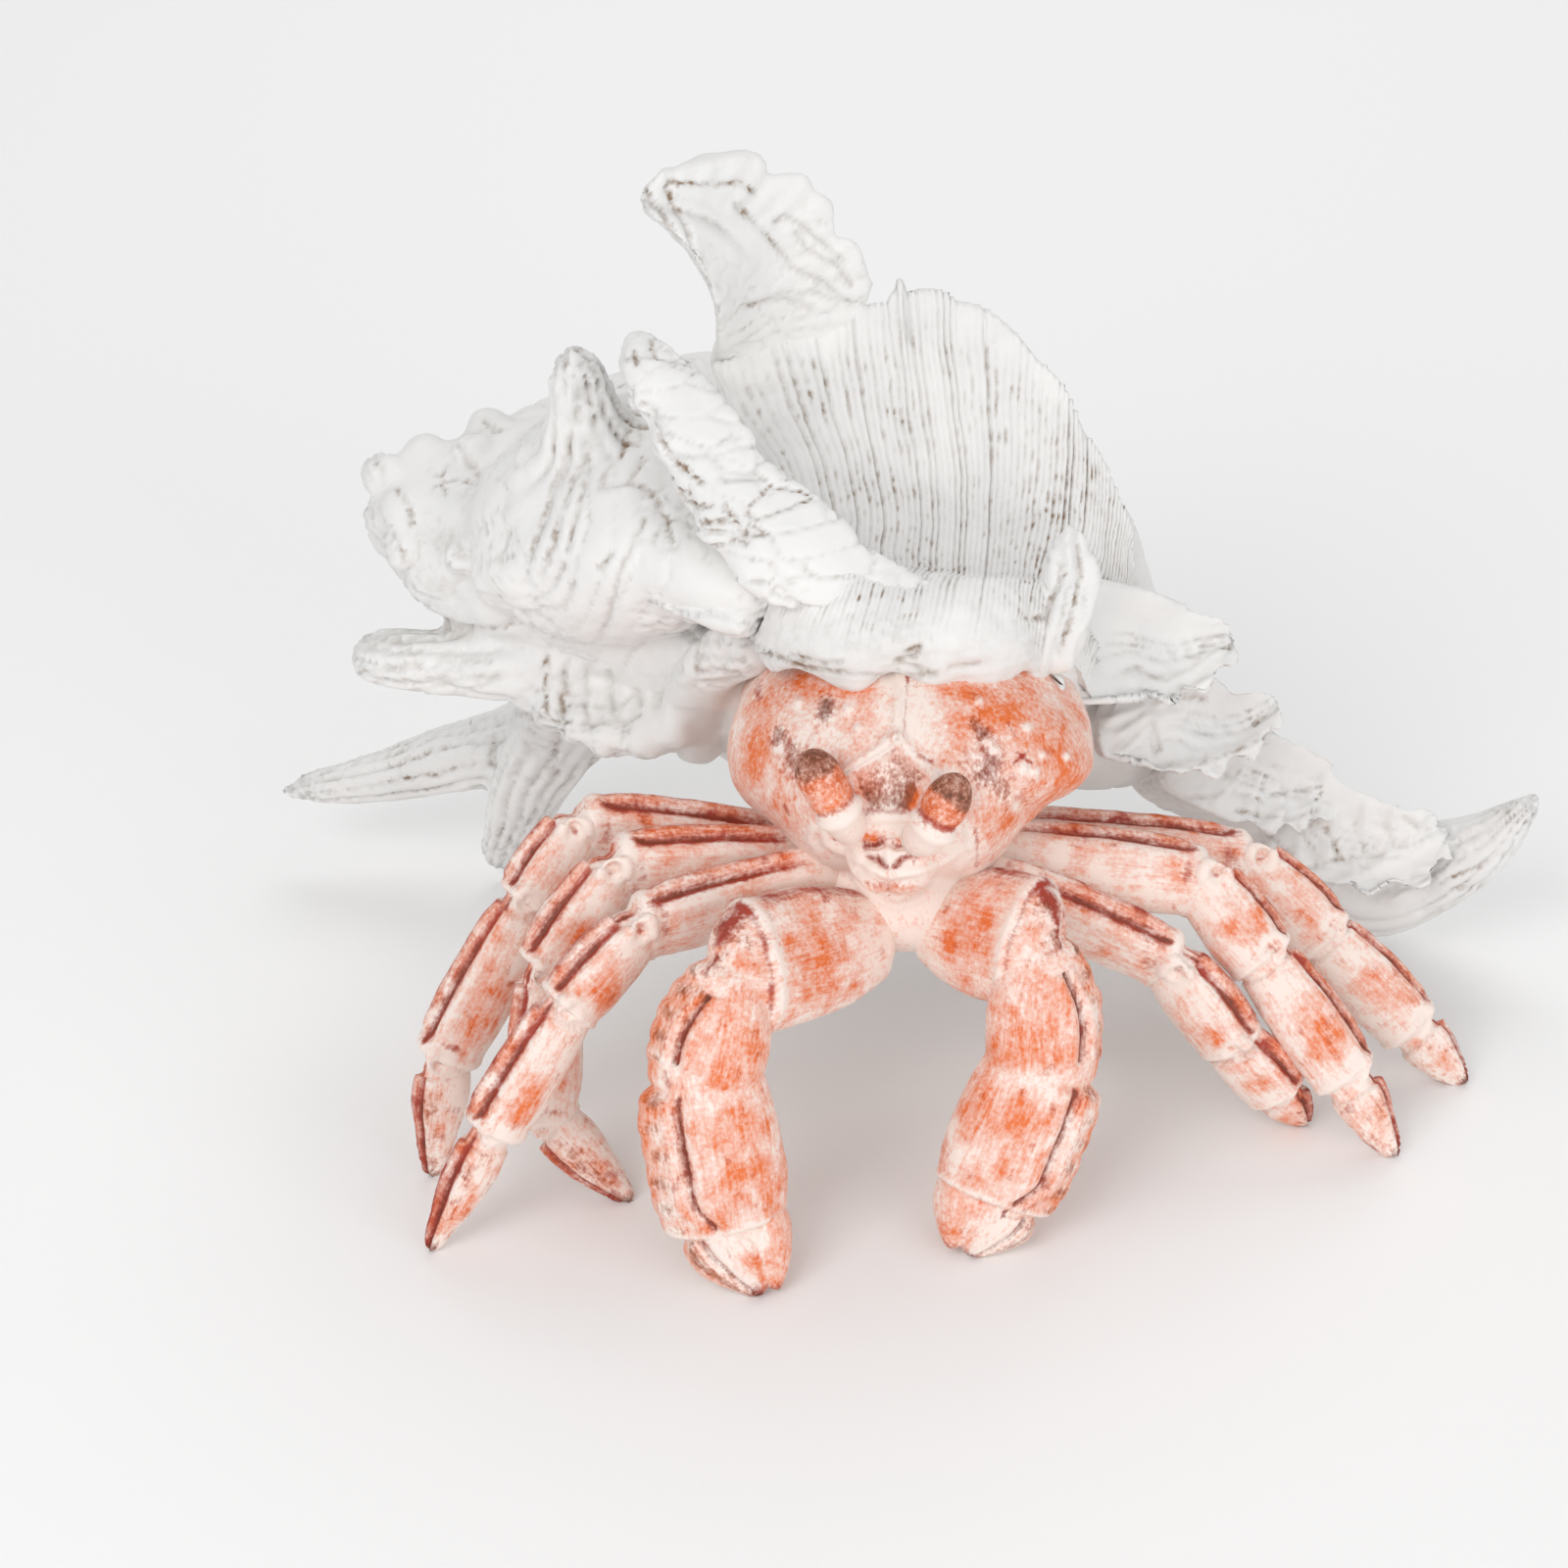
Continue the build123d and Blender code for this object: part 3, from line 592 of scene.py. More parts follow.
def spline(knots, rows, shares):
    """Smooth values through rows at knots, read at shares."""
    rows = np.asarray(rows, float)
    slopes = np.gradient(rows, knots, axis=0)
    low = np.clip(np.searchsorted(knots, shares, side="right") - 1, 0, len(knots) - 2)
    width = (knots[low + 1] - knots[low])[:, None]
    t = (shares - knots[low])[:, None] / width
    start = (1 + 2 * t) * (1 - t) ** 2 * rows[low] + t * (1 - t) ** 2 * width * slopes[low]
    return start + t * t * (3 - 2 * t) * rows[low + 1] + t * t * (t - 1) * width * slopes[low + 1]


def rough(points, size, seed=0.0):
    """Soft noise from about -1 to 1 with lumps of a given size in mm. The seed moves it elsewhere."""
    places = points / size + seed
    return np.array([noise.noise(place) for place in places.tolist()])


def lumpy(points, rows):
    """Lumps of several sizes, summed: height, size and where in the noise they are taken from."""
    return sum(height * rough(points, size, seed) for height, size, seed in rows)


def plates(points, size, seed=0.0):
    """Irregular chipped plates: how far inside their borders points lie, and their heights from -1 to 1."""
    places = points / size + seed
    borders = np.empty(len(places))
    heights = np.empty(len(places))
    for index, place in enumerate(places.tolist()):
        near, centres = noise.voronoi(place)
        borders[index] = near[1] - near[0]
        heights[index] = noise.cell(centres[0] * 7.3)
    return borders, heights


def face_chart(points):
    """Places as seen from in front: mm to the right of the nose and mm up from it."""
    return (points - np.array(NOSE)) @ np.array((FACE_RIGHT, FACE_UP)).T


def view_chart(points):
    """Places as the camera sees them: mm to the right and up at the distance of its target."""
    offset = points - np.array(VIEW_TARGET)
    nearer = VIEW_DISTANCE / (VIEW_DISTANCE - offset @ np.array(VIEW_BACK))
    return offset @ np.array((FACE_RIGHT, FACE_UP)).T * nearer[:, None]


def stroke(chart, line, width):
    """A soft stroke of a given half width along a line of places."""
    line = np.array(line, float)
    nearest = np.full(len(chart), np.inf)
    for start, end in zip(line, line[1:]):
        run = end - start
        share = np.clip((chart - start) @ run / (run @ run), 0.0, 1.0)
        nearest = np.minimum(nearest, np.linalg.norm(chart - start - share[:, None] * run, axis=1))
    return np.exp(-((nearest / width) ** 2))


def strokes(chart, lines, width):
    """Soft strokes of one half width along several lines, summed."""
    return sum(stroke(chart, line, width) for line in lines)


def dot(chart, place, radius):
    """A soft round spot."""
    return np.exp(-(np.linalg.norm(chart - np.array(place), axis=1) / radius) ** 2)


def inside(chart, corners):
    """How far places lie inside a convex outline that runs clockwise, in mm."""
    depth = np.full(len(chart), np.inf)
    for start, end in zip(corners, corners[1:] + corners[:1]):
        run = np.subtract(end, start)
        depth = np.minimum(depth, (chart - start) @ np.array((run[1], -run[0])) / np.hypot(*run))
    return depth


def facing_front(normals):
    """1 where the surface faces the viewer, 0 where it faces away."""
    return ease(0.0, 0.3, normals @ np.array(VIEWER))


def cracks(names, points, normals):
    """Cracks of some pieces of the shell, from 0 to 1."""
    chart = view_chart(points)
    dark = np.zeros(len(points))
    for name in names:
        for line in SHELL_CRACKS[name]:
            dark = np.maximum(dark, stroke(chart, line, CRACK_WIDTH))
    return dark * facing_front(normals)


def face_relief(points, normals):
    """Grooves, folds, pits and dots of the face, and its narrow cheeks."""
    chart = face_chart(points)
    right, up = chart.T
    form = strokes(chart, FACE_GROOVES, 1.0) - 0.7 * strokes(chart, FACE_GROOVES, 0.35)
    form += 0.7 * strokes(chart, FACE_FOLDS, 0.8) - 0.4 * strokes(chart, FACE_FOLDS, 2.0)
    for line, width, depth in FACE_PITS:
        form -= depth * stroke(chart, line, 0.8 * width)
    for place in FACE_DOTS:
        form += 0.6 * dot(chart, place, 0.7)
    form -= 1.3 * ease(0.0, 1.3, inside(chart, BROW))
    cheeks = 5.5 * ease(13.0, 26.0, right) * ease(16.0, 4.0, up)
    cheeks += 2.0 * ease(-10.0, -22.0, right) * ease(14.0, 2.0, up)
    return lumpy(points, FACE_LUMPS) + form * facing_front(normals) - cheeks * ease(-12.0, -4.0, up)


def face_paint(points, normals):
    """Orange, red and brown of the face, left off its folds and dots."""
    chart = face_chart(points)
    front = facing_front(normals)
    high = ease(-3.0, 10.0, chart[:, 1])
    brow = ease(0.2, 1.6, inside(chart, BROW)) * front
    orange = 0.38 * high * (1.0 - 0.6 * stroke(chart, ((1.5, 40.0), (1.2, 16.0), (0.0, 0.0)), 5.0))
    orange += 0.3 * high * rough(points, 6.0, 3.0) + 0.2 * brow
    red = 0.2 * high * ease(0.1, 0.6, rough(points, 3.0, 23.0)) + 0.3 * brow
    brown = 0.5 * brow
    for line, width, amount in FACE_ORANGE:
        orange += 0.8 * amount * stroke(chart, line, width) * front
    for line, width, amount in FACE_RED:
        red += amount * stroke(chart, line, width) * front
    for line, width, amount in FACE_BROWN:
        brown += 0.85 * amount * stroke(chart, line, width) * front
        red += 0.6 * amount * stroke(chart, line, 1.4 * width) * front
    for line, width, depth in FACE_PITS:
        red += 0.95 * depth * stroke(chart, line, width) * front
        brown += 0.6 * depth * stroke(chart, line, 0.7 * width) * front
    pale = strokes(chart, FACE_GROOVES + FACE_FOLDS, 0.7)
    for place in FACE_DOTS:
        pale += dot(chart, place, 0.8)
        red += 0.35 * (dot(chart, place, 1.7) - dot(chart, place, 1.0)) * front
    keep = 1.0 - np.clip(pale, 0.0, 1.0)
    return coats(orange * keep, red * keep, brown * keep)


class Loft:
    """A smooth run of ovals. Turn 0 is its outer edge, 90 degrees faces `face`."""

    def __init__(self, rows, face, side=1.0, blunt=(0.12, 0.12), curl=0.0):
        self.rows = np.asarray(rows, float)
        steps = np.linalg.norm(np.diff(self.rows[:, :3], axis=0), axis=1)
        self.length = steps.sum()
        self.knots = np.concatenate(([0.0], np.cumsum(steps))) / self.length
        self.face = np.asarray(face, float)
        self.side = side
        self.blunt = blunt
        self.curl = curl

    def frames(self, shares):
        """Centre, edge, facing, half width and half thickness at shares of the length."""
        values = spline(self.knots, self.rows, shares)
        ahead = spline(self.knots, self.rows, np.minimum(shares + 0.01, 1.0))
        behind = spline(self.knots, self.rows, np.maximum(shares - 0.01, 0.0))
        along = unit(ahead[:, :3] - behind[:, :3])
        facing = unit(self.face - along * (along @ self.face)[:, None])
        edge = np.cross(facing, along) * self.side
        return values[:, :3], edge, facing, values[:, 3], values[:, 4]

    def points(self, shares, turns, relief=0.0):
        centre, edge, facing, width, thick = self.frames(shares)
        root, tip = self.blunt
        cap = np.sqrt(np.clip(1 - np.clip(1 - shares / root, 0, 1) ** 2, 0, 1))
        cap = cap * np.sqrt(np.clip(1 - np.clip(1 - (1 - shares) / tip, 0, 1) ** 2, 0, 1))
        angle = np.radians(turns)
        across = (width + relief) * cap * np.cos(angle)
        outward = (thick + relief) * cap * np.sin(angle) + self.curl * np.cos(angle) ** 2 * cap
        return centre + edge * across[:, None] + facing * outward[:, None]

    def near(self, points):
        """Share, turn and distance of points, the distance as a share of the oval's radius."""
        shares = np.linspace(0.0, 1.0, LOFT_SAMPLES)
        centre, edge, facing, width, thick = self.frames(shares)
        found = np.empty(len(points), int)
        for start in range(0, len(points), POINTS_AT_ONCE):
            some = points[start:start + POINTS_AT_ONCE]
            apart = ((some[:, None, :] - centre[None, :, :]) ** 2).sum(axis=2)
            found[start:start + POINTS_AT_ONCE] = apart.argmin(axis=1)
        offset = points - centre[found]
        across = (offset * edge[found]).sum(axis=1)
        outward = (offset * facing[found]).sum(axis=1)
        past = (offset ** 2).sum(axis=1) - across ** 2 - outward ** 2
        wide, deep = width[found], thick[found]
        away = np.sqrt((across / wide) ** 2 + (outward / deep) ** 2 + past / deep ** 2)
        return shares[found], np.degrees(np.arctan2(outward, across)), away


def add_loft(bm, loft, rings, around, relief=None):
    """Adds a closed loft to a mesh, with its carving."""
    made = bmesh.ops.create_uvsphere(bm, u_segments=around, v_segments=rings, radius=1.0)["verts"]
    ball = np.array([vert.co for vert in made])
    shares = np.arccos(np.clip(ball[:, 2], -1.0, 1.0)) / math.pi
    turns = np.degrees(np.arctan2(ball[:, 1], ball[:, 0]))
    carving = relief(shares, turns) if relief else np.zeros(len(made))
    places = loft.points(shares, turns, carving)
    for vert, place in zip(made, np.clip(places * MM, *CAD_BOX).tolist()):
        vert.co = place


def add_ball(bm, centre, radius):
    """Adds a round lump at a place in mm."""
    place = Matrix.Translation(Vector(centre) * MM)
    bmesh.ops.create_uvsphere(bm, u_segments=24, v_segments=12, radius=radius * MM, matrix=place)


def link_mesh(name, bm):
    """An object in the scene that takes over the shape of a bmesh."""
    mesh = bpy.data.meshes.new(name)
    bm.to_mesh(mesh)
    bm.free()
    made = bpy.data.objects.new(name, mesh)
    bpy.context.scene.collection.objects.link(made)
    return made


def new_piece(name, bm, material, nodes):
    """A finished piece in the scene, riding on the figurine in place of its plain solids."""
    piece = link_mesh(name, bm)
    piece.data.shade_smooth()
    piece.data.materials.append(material)
    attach(piece, BODY)
    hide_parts(*nodes)
    return piece


def carve(name, bm, shape, step, smoothing):
    """Melts overlapping forms into one skin of even cells and moves its points by `shape`, inside the box."""
    bmesh.ops.recalc_face_normals(bm, faces=bm.faces)
    form = link_mesh(name + "_form", bm)
    melt = form.modifiers.new("melt", "REMESH")
    melt.mode = "VOXEL"
    melt.voxel_size = step
    bpy.context.view_layer.update()
    melted = form.evaluated_get(bpy.context.evaluated_depsgraph_get())
    skin = bpy.data.meshes.new_from_object(melted)
    bpy.data.objects.remove(form)
    bm = bmesh.new()
    bm.from_mesh(skin)
    for _ in range(smoothing):
        bmesh.ops.smooth_vert(bm, verts=bm.verts, factor=0.5,
                              use_axis_x=True, use_axis_y=True, use_axis_z=True)
    bm.normal_update()
    bm.to_mesh(skin)
    points = read(skin, "co") / MM
    normals = read(skin, "normal")
    bpy.data.meshes.remove(skin)
    moved = np.clip((points + normals * shape(points, normals)[:, None]) * MM, *CAD_BOX)
    for vert, place in zip(bm.verts, moved.tolist()):
        vert.co = place
    bm.normal_update()
    bmesh.ops.recalc_face_normals(bm, faces=bm.faces)
    return bm


def read(mesh, what):
    """The places or normals of the points of a mesh."""
    values = np.empty(len(mesh.vertices) * 3, np.float32)
    mesh.vertices.foreach_get(what, values)
    return values.reshape(-1, 3).astype(float)


def hollows(mesh, passes):
    """How deep each point lies under the smoothed surface round it, in mm."""
    points = read(mesh, "co") / MM
    normals = read(mesh, "normal")
    edges = np.empty(len(mesh.edges) * 2, np.int32)
    mesh.edges.foreach_get("vertices", edges)
    edges = edges.reshape(-1, 2)
    count = np.bincount(edges.ravel(), minlength=len(points))[:, None]
    level = points
    for _ in range(passes):
        total = np.zeros_like(level)
        for axis in range(3):
            total[:, axis] = np.bincount(edges[:, 0], level[edges[:, 1], axis], minlength=len(points))
            total[:, axis] += np.bincount(edges[:, 1], level[edges[:, 0], axis], minlength=len(points))
        level = (level + total / count) / 2
    return ((level - points) * normals).sum(axis=1)


def set_values(piece, name, values):
    """Stores one number for each point of a piece."""
    layer = piece.data.attributes.new(name, "FLOAT", "POINT")
    layer.data.foreach_set("value", values.astype(np.float32))


def add(tree, kind, inputs=None, **settings):
    """Adds a node with its settings, and links or sets its inputs."""
    node = tree.nodes.new(kind)
    for key, value in settings.items():
        setattr(node, key, value)
    for key, value in (inputs or {}).items():
        if isinstance(value, bpy.types.NodeSocket):
            tree.links.new(value, node.inputs[key])
        else:
            node.inputs[key].default_value = value
    return node


def new_material(name, roughness):
    """A plain material, its node tree and its shader."""
    material = bpy.data.materials.new(name)
    material.use_nodes = True
    shader = material.node_tree.nodes["Principled BSDF"]
    shader.inputs["Roughness"].default_value = roughness
    shader.inputs["IOR"].default_value = 1.5
    return material, material.node_tree, shader


def per_mm(size):
    """Texture scale for a pattern of a given size in mm on coordinates in metres."""
    return 1.0 / (size * MM)


def whitewashed_shell_resin(settings):
    """Cast resin under chalky whitewash, rubbed so that brown wash stays in the cracks."""
    material, tree, shader = new_material("whitewashed_cast_resin", roughness=0.72)
    place = add(tree, "ShaderNodeTexCoord").outputs["Object"]
    wash = add(tree, "ShaderNodeAttribute", attribute_name="wash").outputs["Fac"]
    # Thicker and thinner wash alternates over about 16 mm. The grit of the chalk is finer than 1.6 mm and is
    # drawn that coarse to show
    broad = add(tree, "ShaderNodeTexNoise", {"Vector": place, "Scale": per_mm(16), "Detail": 3.0})
    broad = broad.outputs["Fac"]
    grit = add(tree, "ShaderNodeTexNoise", {"Vector": place, "Scale": per_mm(1.6), "Detail": 4.0})
    grit = grit.outputs["Fac"]
    tone = add(tree, "ShaderNodeMapRange",
               {"Value": broad, "From Min": 0.35, "From Max": 0.7, "To Max": 0.5}).outputs["Result"]
    base = add(tree, "ShaderNodeMix", {"Factor": tone, "A": settings.chalk, "B": settings.shade},
               data_type="RGBA").outputs["Result"]
    patch = add(tree, "ShaderNodeMapRange", {"Value": broad, "From Min": 0.42, "From Max": 0.62})
    broken = add(tree, "ShaderNodeMapRange", {"Value": grit, "From Min": 0.4, "From Max": 0.62})
    kept = add(tree, "ShaderNodeMath", {0: patch.outputs["Result"], 1: broken.outputs["Result"], 2: 0.25},
               operation="MULTIPLY_ADD").outputs["Value"]
    dark = add(tree, "ShaderNodeMath", {0: wash, 1: kept}, operation="MULTIPLY", use_clamp=True)
    tint = add(tree, "ShaderNodeMix", {"Factor": dark.outputs["Value"], "A": base, "B": settings.wash},
               data_type="RGBA")
    tree.links.new(tint.outputs["Result"], shader.inputs["Base Color"])
    bump = add(tree, "ShaderNodeBump", {"Strength": 0.35, "Distance": 0.3 * MM, "Height": grit})
    tree.links.new(bump.outputs["Normal"], shader.inputs["Normal"])
    return material


def painted_crab_resin(settings):
    """Cast resin with a pale ground, dry-brushed orange, red glaze on the ridges, satin sealer."""
    material, tree, shader = new_material("painted_cast_resin", roughness=0.5)
    place = add(tree, "ShaderNodeTexCoord").outputs["Object"]
    coat = add(tree, "ShaderNodeAttribute", attribute_name="paint").outputs["Color"]
    split = add(tree, "ShaderNodeSeparateColor", {"Color": coat})
    grain = add(tree, "ShaderNodeAttribute", attribute_name="grain").outputs["Vector"]
    # Marks of single bristles and specks are finer than this and are drawn as coarse as they need to show
    streak = add(tree, "ShaderNodeTexNoise", {"Vector": grain, "Scale": per_mm(0.8), "Detail": 5.0,
                                              "Roughness": 0.75}).outputs["Fac"]
    blotch = add(tree, "ShaderNodeTexNoise", {"Vector": place, "Scale": per_mm(4), "Detail": 5.0,
                                              "Roughness": 0.65}).outputs["Fac"]
    speck = add(tree, "ShaderNodeTexNoise", {"Vector": place, "Scale": per_mm(0.7), "Detail": 2.0})
    speck = speck.outputs["Fac"]
    mottle = add(tree, "ShaderNodeMath", {0: streak, 1: blotch}, operation="ADD").outputs["Value"]
    mottle = add(tree, "ShaderNodeMath", {0: speck, 1: 0.5, 2: mottle}, operation="MULTIPLY_ADD")
    mottle = mottle.outputs["Value"]
    mottle = add(tree, "ShaderNodeMath", {0: mottle, 1: 0.45, 2: -0.5625}, operation="MULTIPLY_ADD")
    mottle = mottle.outputs["Value"]
    layers = ((split.outputs["Red"], settings.orange, 3.2, 0.12, 0.98),
              (split.outputs["Green"], settings.red, 2.2, 0.3, 1.0),
              (split.outputs["Blue"], settings.brown, 2.4, 0.35, 1.05))
    colour = settings.ground
    for amount, paint, streaky, low, high in layers:
        uneven = add(tree, "ShaderNodeMath", {0: mottle, 1: streaky, 2: amount}, operation="MULTIPLY_ADD")
        shown = add(tree, "ShaderNodeMapRange",
                    {"Value": uneven.outputs["Value"], "From Min": low, "From Max": high})
        colour = add(tree, "ShaderNodeMix", {"Factor": shown.outputs["Result"], "A": colour, "B": paint},
                     data_type="RGBA").outputs["Result"]
    tree.links.new(colour, shader.inputs["Base Color"])
    bump = add(tree, "ShaderNodeBump", {"Strength": 0.25, "Distance": 0.2 * MM, "Height": speck})
    tree.links.new(bump.outputs["Normal"], shader.inputs["Normal"])
    return material


def drawn_steel_wire():
    """Plain drawn wire, faintly scored along its length."""
    material, tree, shader = new_material("drawn_steel_wire", roughness=0.35)
    shader.inputs["Metallic"].default_value = 1.0
    place = add(tree, "ShaderNodeTexCoord").outputs["Object"]
    # Die marks are finer than 0.5 mm and are drawn that coarse to show
    score = add(tree, "ShaderNodeTexNoise", {"Vector": place, "Scale": per_mm(0.5), "Detail": 2.0})
    tone = add(tree, "ShaderNodeMix",
               {"Factor": score.outputs["Fac"], "A": srgb("#8f9194"), "B": srgb("#b9bbbe")}, data_type="RGBA")
    tree.links.new(tone.outputs["Result"], shader.inputs["Base Color"])
    return material


def shell_piece(name, bm, nodes):
    """A piece of the shell. Its whitewash is made once."""
    settings = bpy.context.scene.figurine_shell
    finish = bpy.data.materials.get("whitewashed_cast_resin") or whitewashed_shell_resin(settings)
    return new_piece(name, bm, finish, nodes)


def crab_piece(name, bm, nodes):
    """A piece of the crab. Its paint is made once."""
    settings = bpy.context.scene.figurine_crab
    finish = bpy.data.materials.get("painted_cast_resin") or painted_crab_resin(settings)
    return new_piece(name, bm, finish, nodes)


def spine_ribs(points, loft, count, depth):
    """Grooves along a spine, fading out at its root."""
    share, turn, away = loft.near(points)
    wander = 14.0 * rough(points, 9.0, 3.0)
    wave = np.cos(np.radians((turn + wander) * count))
    groove = -depth * (1.0 - np.abs(wave) ** 0.6)
    return groove * (1.0 - ease(1.15, 1.5, away)) * ease(0.2, 0.5, share)


def shell_skin(points, chipped=0.25):
    """Lumps, pits and chipped plates that the whole shell has."""
    border, height = plates(points + 1.5 * rough(points, 5.0, 31.0)[:, None], (6.0, 6.0, 3.6), 2.0)
    patch = ease(-0.15, 0.3, rough(points, 16.0, 13.0))
    chips = -0.55 * (1.0 - ease(0.0, 0.12, border)) + chipped * height
    return lumpy(points, SHELL_LUMPS) + chips * patch


def wash_from_hollows(piece, names, gain):
    """Brown wash where the surface is lower than what is round it, and in its cracks."""
    fine = hollows(piece.data, passes=3)
    broad = hollows(piece.data, passes=14)
    points = read(piece.data, "co") / MM
    kept = 0.15 + 0.85 * ease(-0.05, 0.35, rough(points, 11.0, 41.0))
    dark = cracks(names, points, read(piece.data, "normal")) * (0.5 + 0.7 * rough(points, 2.2, 61.0))
    set_values(piece, "wash", np.clip(gain * kept * (fine * 3.0 + broad * 0.5) + 1.2 * dark, 0.0, 1.0))


class FIGURINE_OT_shell_whorl(bpy.types.Operator):
    """Whorl of the shell with the knobs of its spire and the spines that stand on it"""
    bl_idname = "figurine.shell_whorl"
    bl_label = "Shell Whorl"

    def execute(self, context):
        settings = context.scene.figurine_shell
        spines = {
            "shoulder_spine": Loft(SHOULDER_SPINE, BACK),
            "left_side_spine": Loft(LEFT_SIDE_SPINE, UP),
            "left_rear_spine": Loft(LEFT_REAR_SPINE, UP),
            "left_foot_spine": Loft(LEFT_FOOT_SPINE, BACK),
            "rear_spine": Loft(REAR_SPINE, UP),
            "rear_foot_spine": Loft(REAR_FOOT_SPINE, BACK),
        }
        whorl = Loft(WHORL, UP, blunt=(0.08, 0.1))
        flange = Loft(FLANGE, UP)
        swells = [Loft(LAST_WHORL, UP), flange, Loft(LIP_ROOT, UP), Loft(INNER_LIP, BACK)]
        bm = bmesh.new()
        add_loft(bm, whorl, rings=96, around=96)
        for *centre, radius in SPIRE_KNOBS:
            add_ball(bm, centre, radius)
        for loft in [*spines.values(), *swells]:
            add_loft(bm, loft, rings=48, around=40)

        def shape(points, normals):
            x, y, z = points.T
            carving = shell_skin(points)
            for loft in spines.values():
                carving += spine_ribs(points, loft, count=6, depth=1.3)
            share, _, away = flange.near(points)
            carving += 0.5 * np.sin(share * 36.0) * (1.0 - ease(1.1, 1.5, away))
            carving += 1.6 * rough(points, 8.0, 51.0) * ease(-60.0, -72.0, x) * ease(70.0, 78.0, z)
            share, turn, _ = whorl.near(points)
            ribs = np.cos(np.radians(turn * 8.0) + 3.0 * share) + 0.7 * np.cos(share * 34.0)
            carving += 0.9 * ribs * ease(8.0, 30.0, y) * bell(share, 0.5, 0.4)
            lines = np.cos(math.pi * (x - 0.29 * z + 1.2 * rough(points, 9.0, 4.0)) / 4.2)
            patch = ease(0.0, 0.4, rough(points, 20.0, 21.0) + bell(x, -57.0, 9.0) - 0.3)
            carving -= 0.35 * bell(lines, 0.0, 0.25) * patch
            return carving - 0.7 * cracks(["shell_whorl"], points, normals)

        bm = carve("shell_whorl", bm, shape, step=settings.carving, smoothing=7)
        piece = shell_piece("shell_whorl", bm, ["shell_body", *spines])
        wash_from_hollows(piece, ["shell_whorl"], gain=0.9)
        return {"FINISHED"}


class FIGURINE_OT_lip_rib(bpy.types.Operator):
    """Thick rib at the left end of the lip, with the spur beside it and the point at the right end"""
    bl_idname = "figurine.lip_rib"
    bl_label = "Lip Rib"

    def execute(self, context):
        settings = context.scene.figurine_shell
        lofts = [Loft(LIP_RIB, VIEWER), Loft(LIP_SPINE, VIEWER), Loft(LIP_SPUR, UP)]
        names = ["lip_rib", "lip_spine"]

        def crest(shares, turns):
            flakes = 0.5 * bell_round(turns, 20, 40) * (np.sin(shares * 37.0) + np.sin(shares * 61.0))
            return 1.4 * bell_round(turns, 160, 22) + flakes * ease(0.3, 0.4, shares)

        bm = bmesh.new()
        add_loft(bm, lofts[0], rings=96, around=64, relief=crest)
        for loft in lofts[1:]:
            add_loft(bm, loft, rings=64, around=64)

        def shape(points, normals):
            border, height = plates(points, (11.0, 11.0, 3.4), 6.0)
            flaky = 0.5 * height - 0.5 * (1.0 - ease(0.0, 0.12, border))
            right = ease(0.0, 8.0, points[:, 0])
            flaky = flaky + right * (0.9 * rough(points, (2.4, 6.0, 14.0), 5.0) - flaky)
            flaky += 1.2 * strokes(view_chart(points), LIP_RIDGES, 0.8) * facing_front(normals)
            return 0.5 * shell_skin(points, chipped=0.4) + flaky - 0.8 * cracks(names, points, normals)

        bm = carve("lip_rib", bm, shape, step=settings.carving * FINE_SHARE, smoothing=4)
        piece = shell_piece("lip_rib", bm, names)
        wash_from_hollows(piece, names, gain=1.0)
        return {"FINISHED"}


class FIGURINE_OT_crown_spine(bpy.types.Operator):
    """Tall folded blade at the top of the shell"""
    bl_idname = "figurine.crown_spine"
    bl_label = "Crown Spine"

    def execute(self, context):
        settings = context.scene.figurine_shell
        blade = Loft(CROWN_SPINE, VIEWER, curl=4.0)

        def frill(shares, turns):
            steps = np.sin(shares * 39.0) + 0.6 * np.sin(shares * 81.0)
            return 1.2 * steps * bell_round(turns, 180, 45) * ease(0.4, 0.52, shares)

        bm = bmesh.new()
        add_loft(bm, blade, rings=96, around=72, relief=frill)

        def shape(points, normals):
            share, turn, _ = blade.near(points)
            ribs = 0.6 * np.cos(np.radians(turn * 9.0)) * bell_round(turn, 30, 35) * ease(0.6, 0.82, share)
            fine = 0.15 * np.cos(share * 150.0 + 0.05 * turn) * bell_round(turn, 150, 30)
            dark = cracks(["crown_spine"], points, normals)
            return 0.6 * shell_skin(points, chipped=0.3) + ribs + fine - 0.7 * dark

        bm = carve("crown_spine", bm, shape, step=settings.carving * FINE_SHARE, smoothing=3)
        piece = shell_piece("crown_spine", bm, ["crown_spine"])
        wash_from_hollows(piece, ["crown_spine"], gain=1.0)
        return {"FINISHED"}


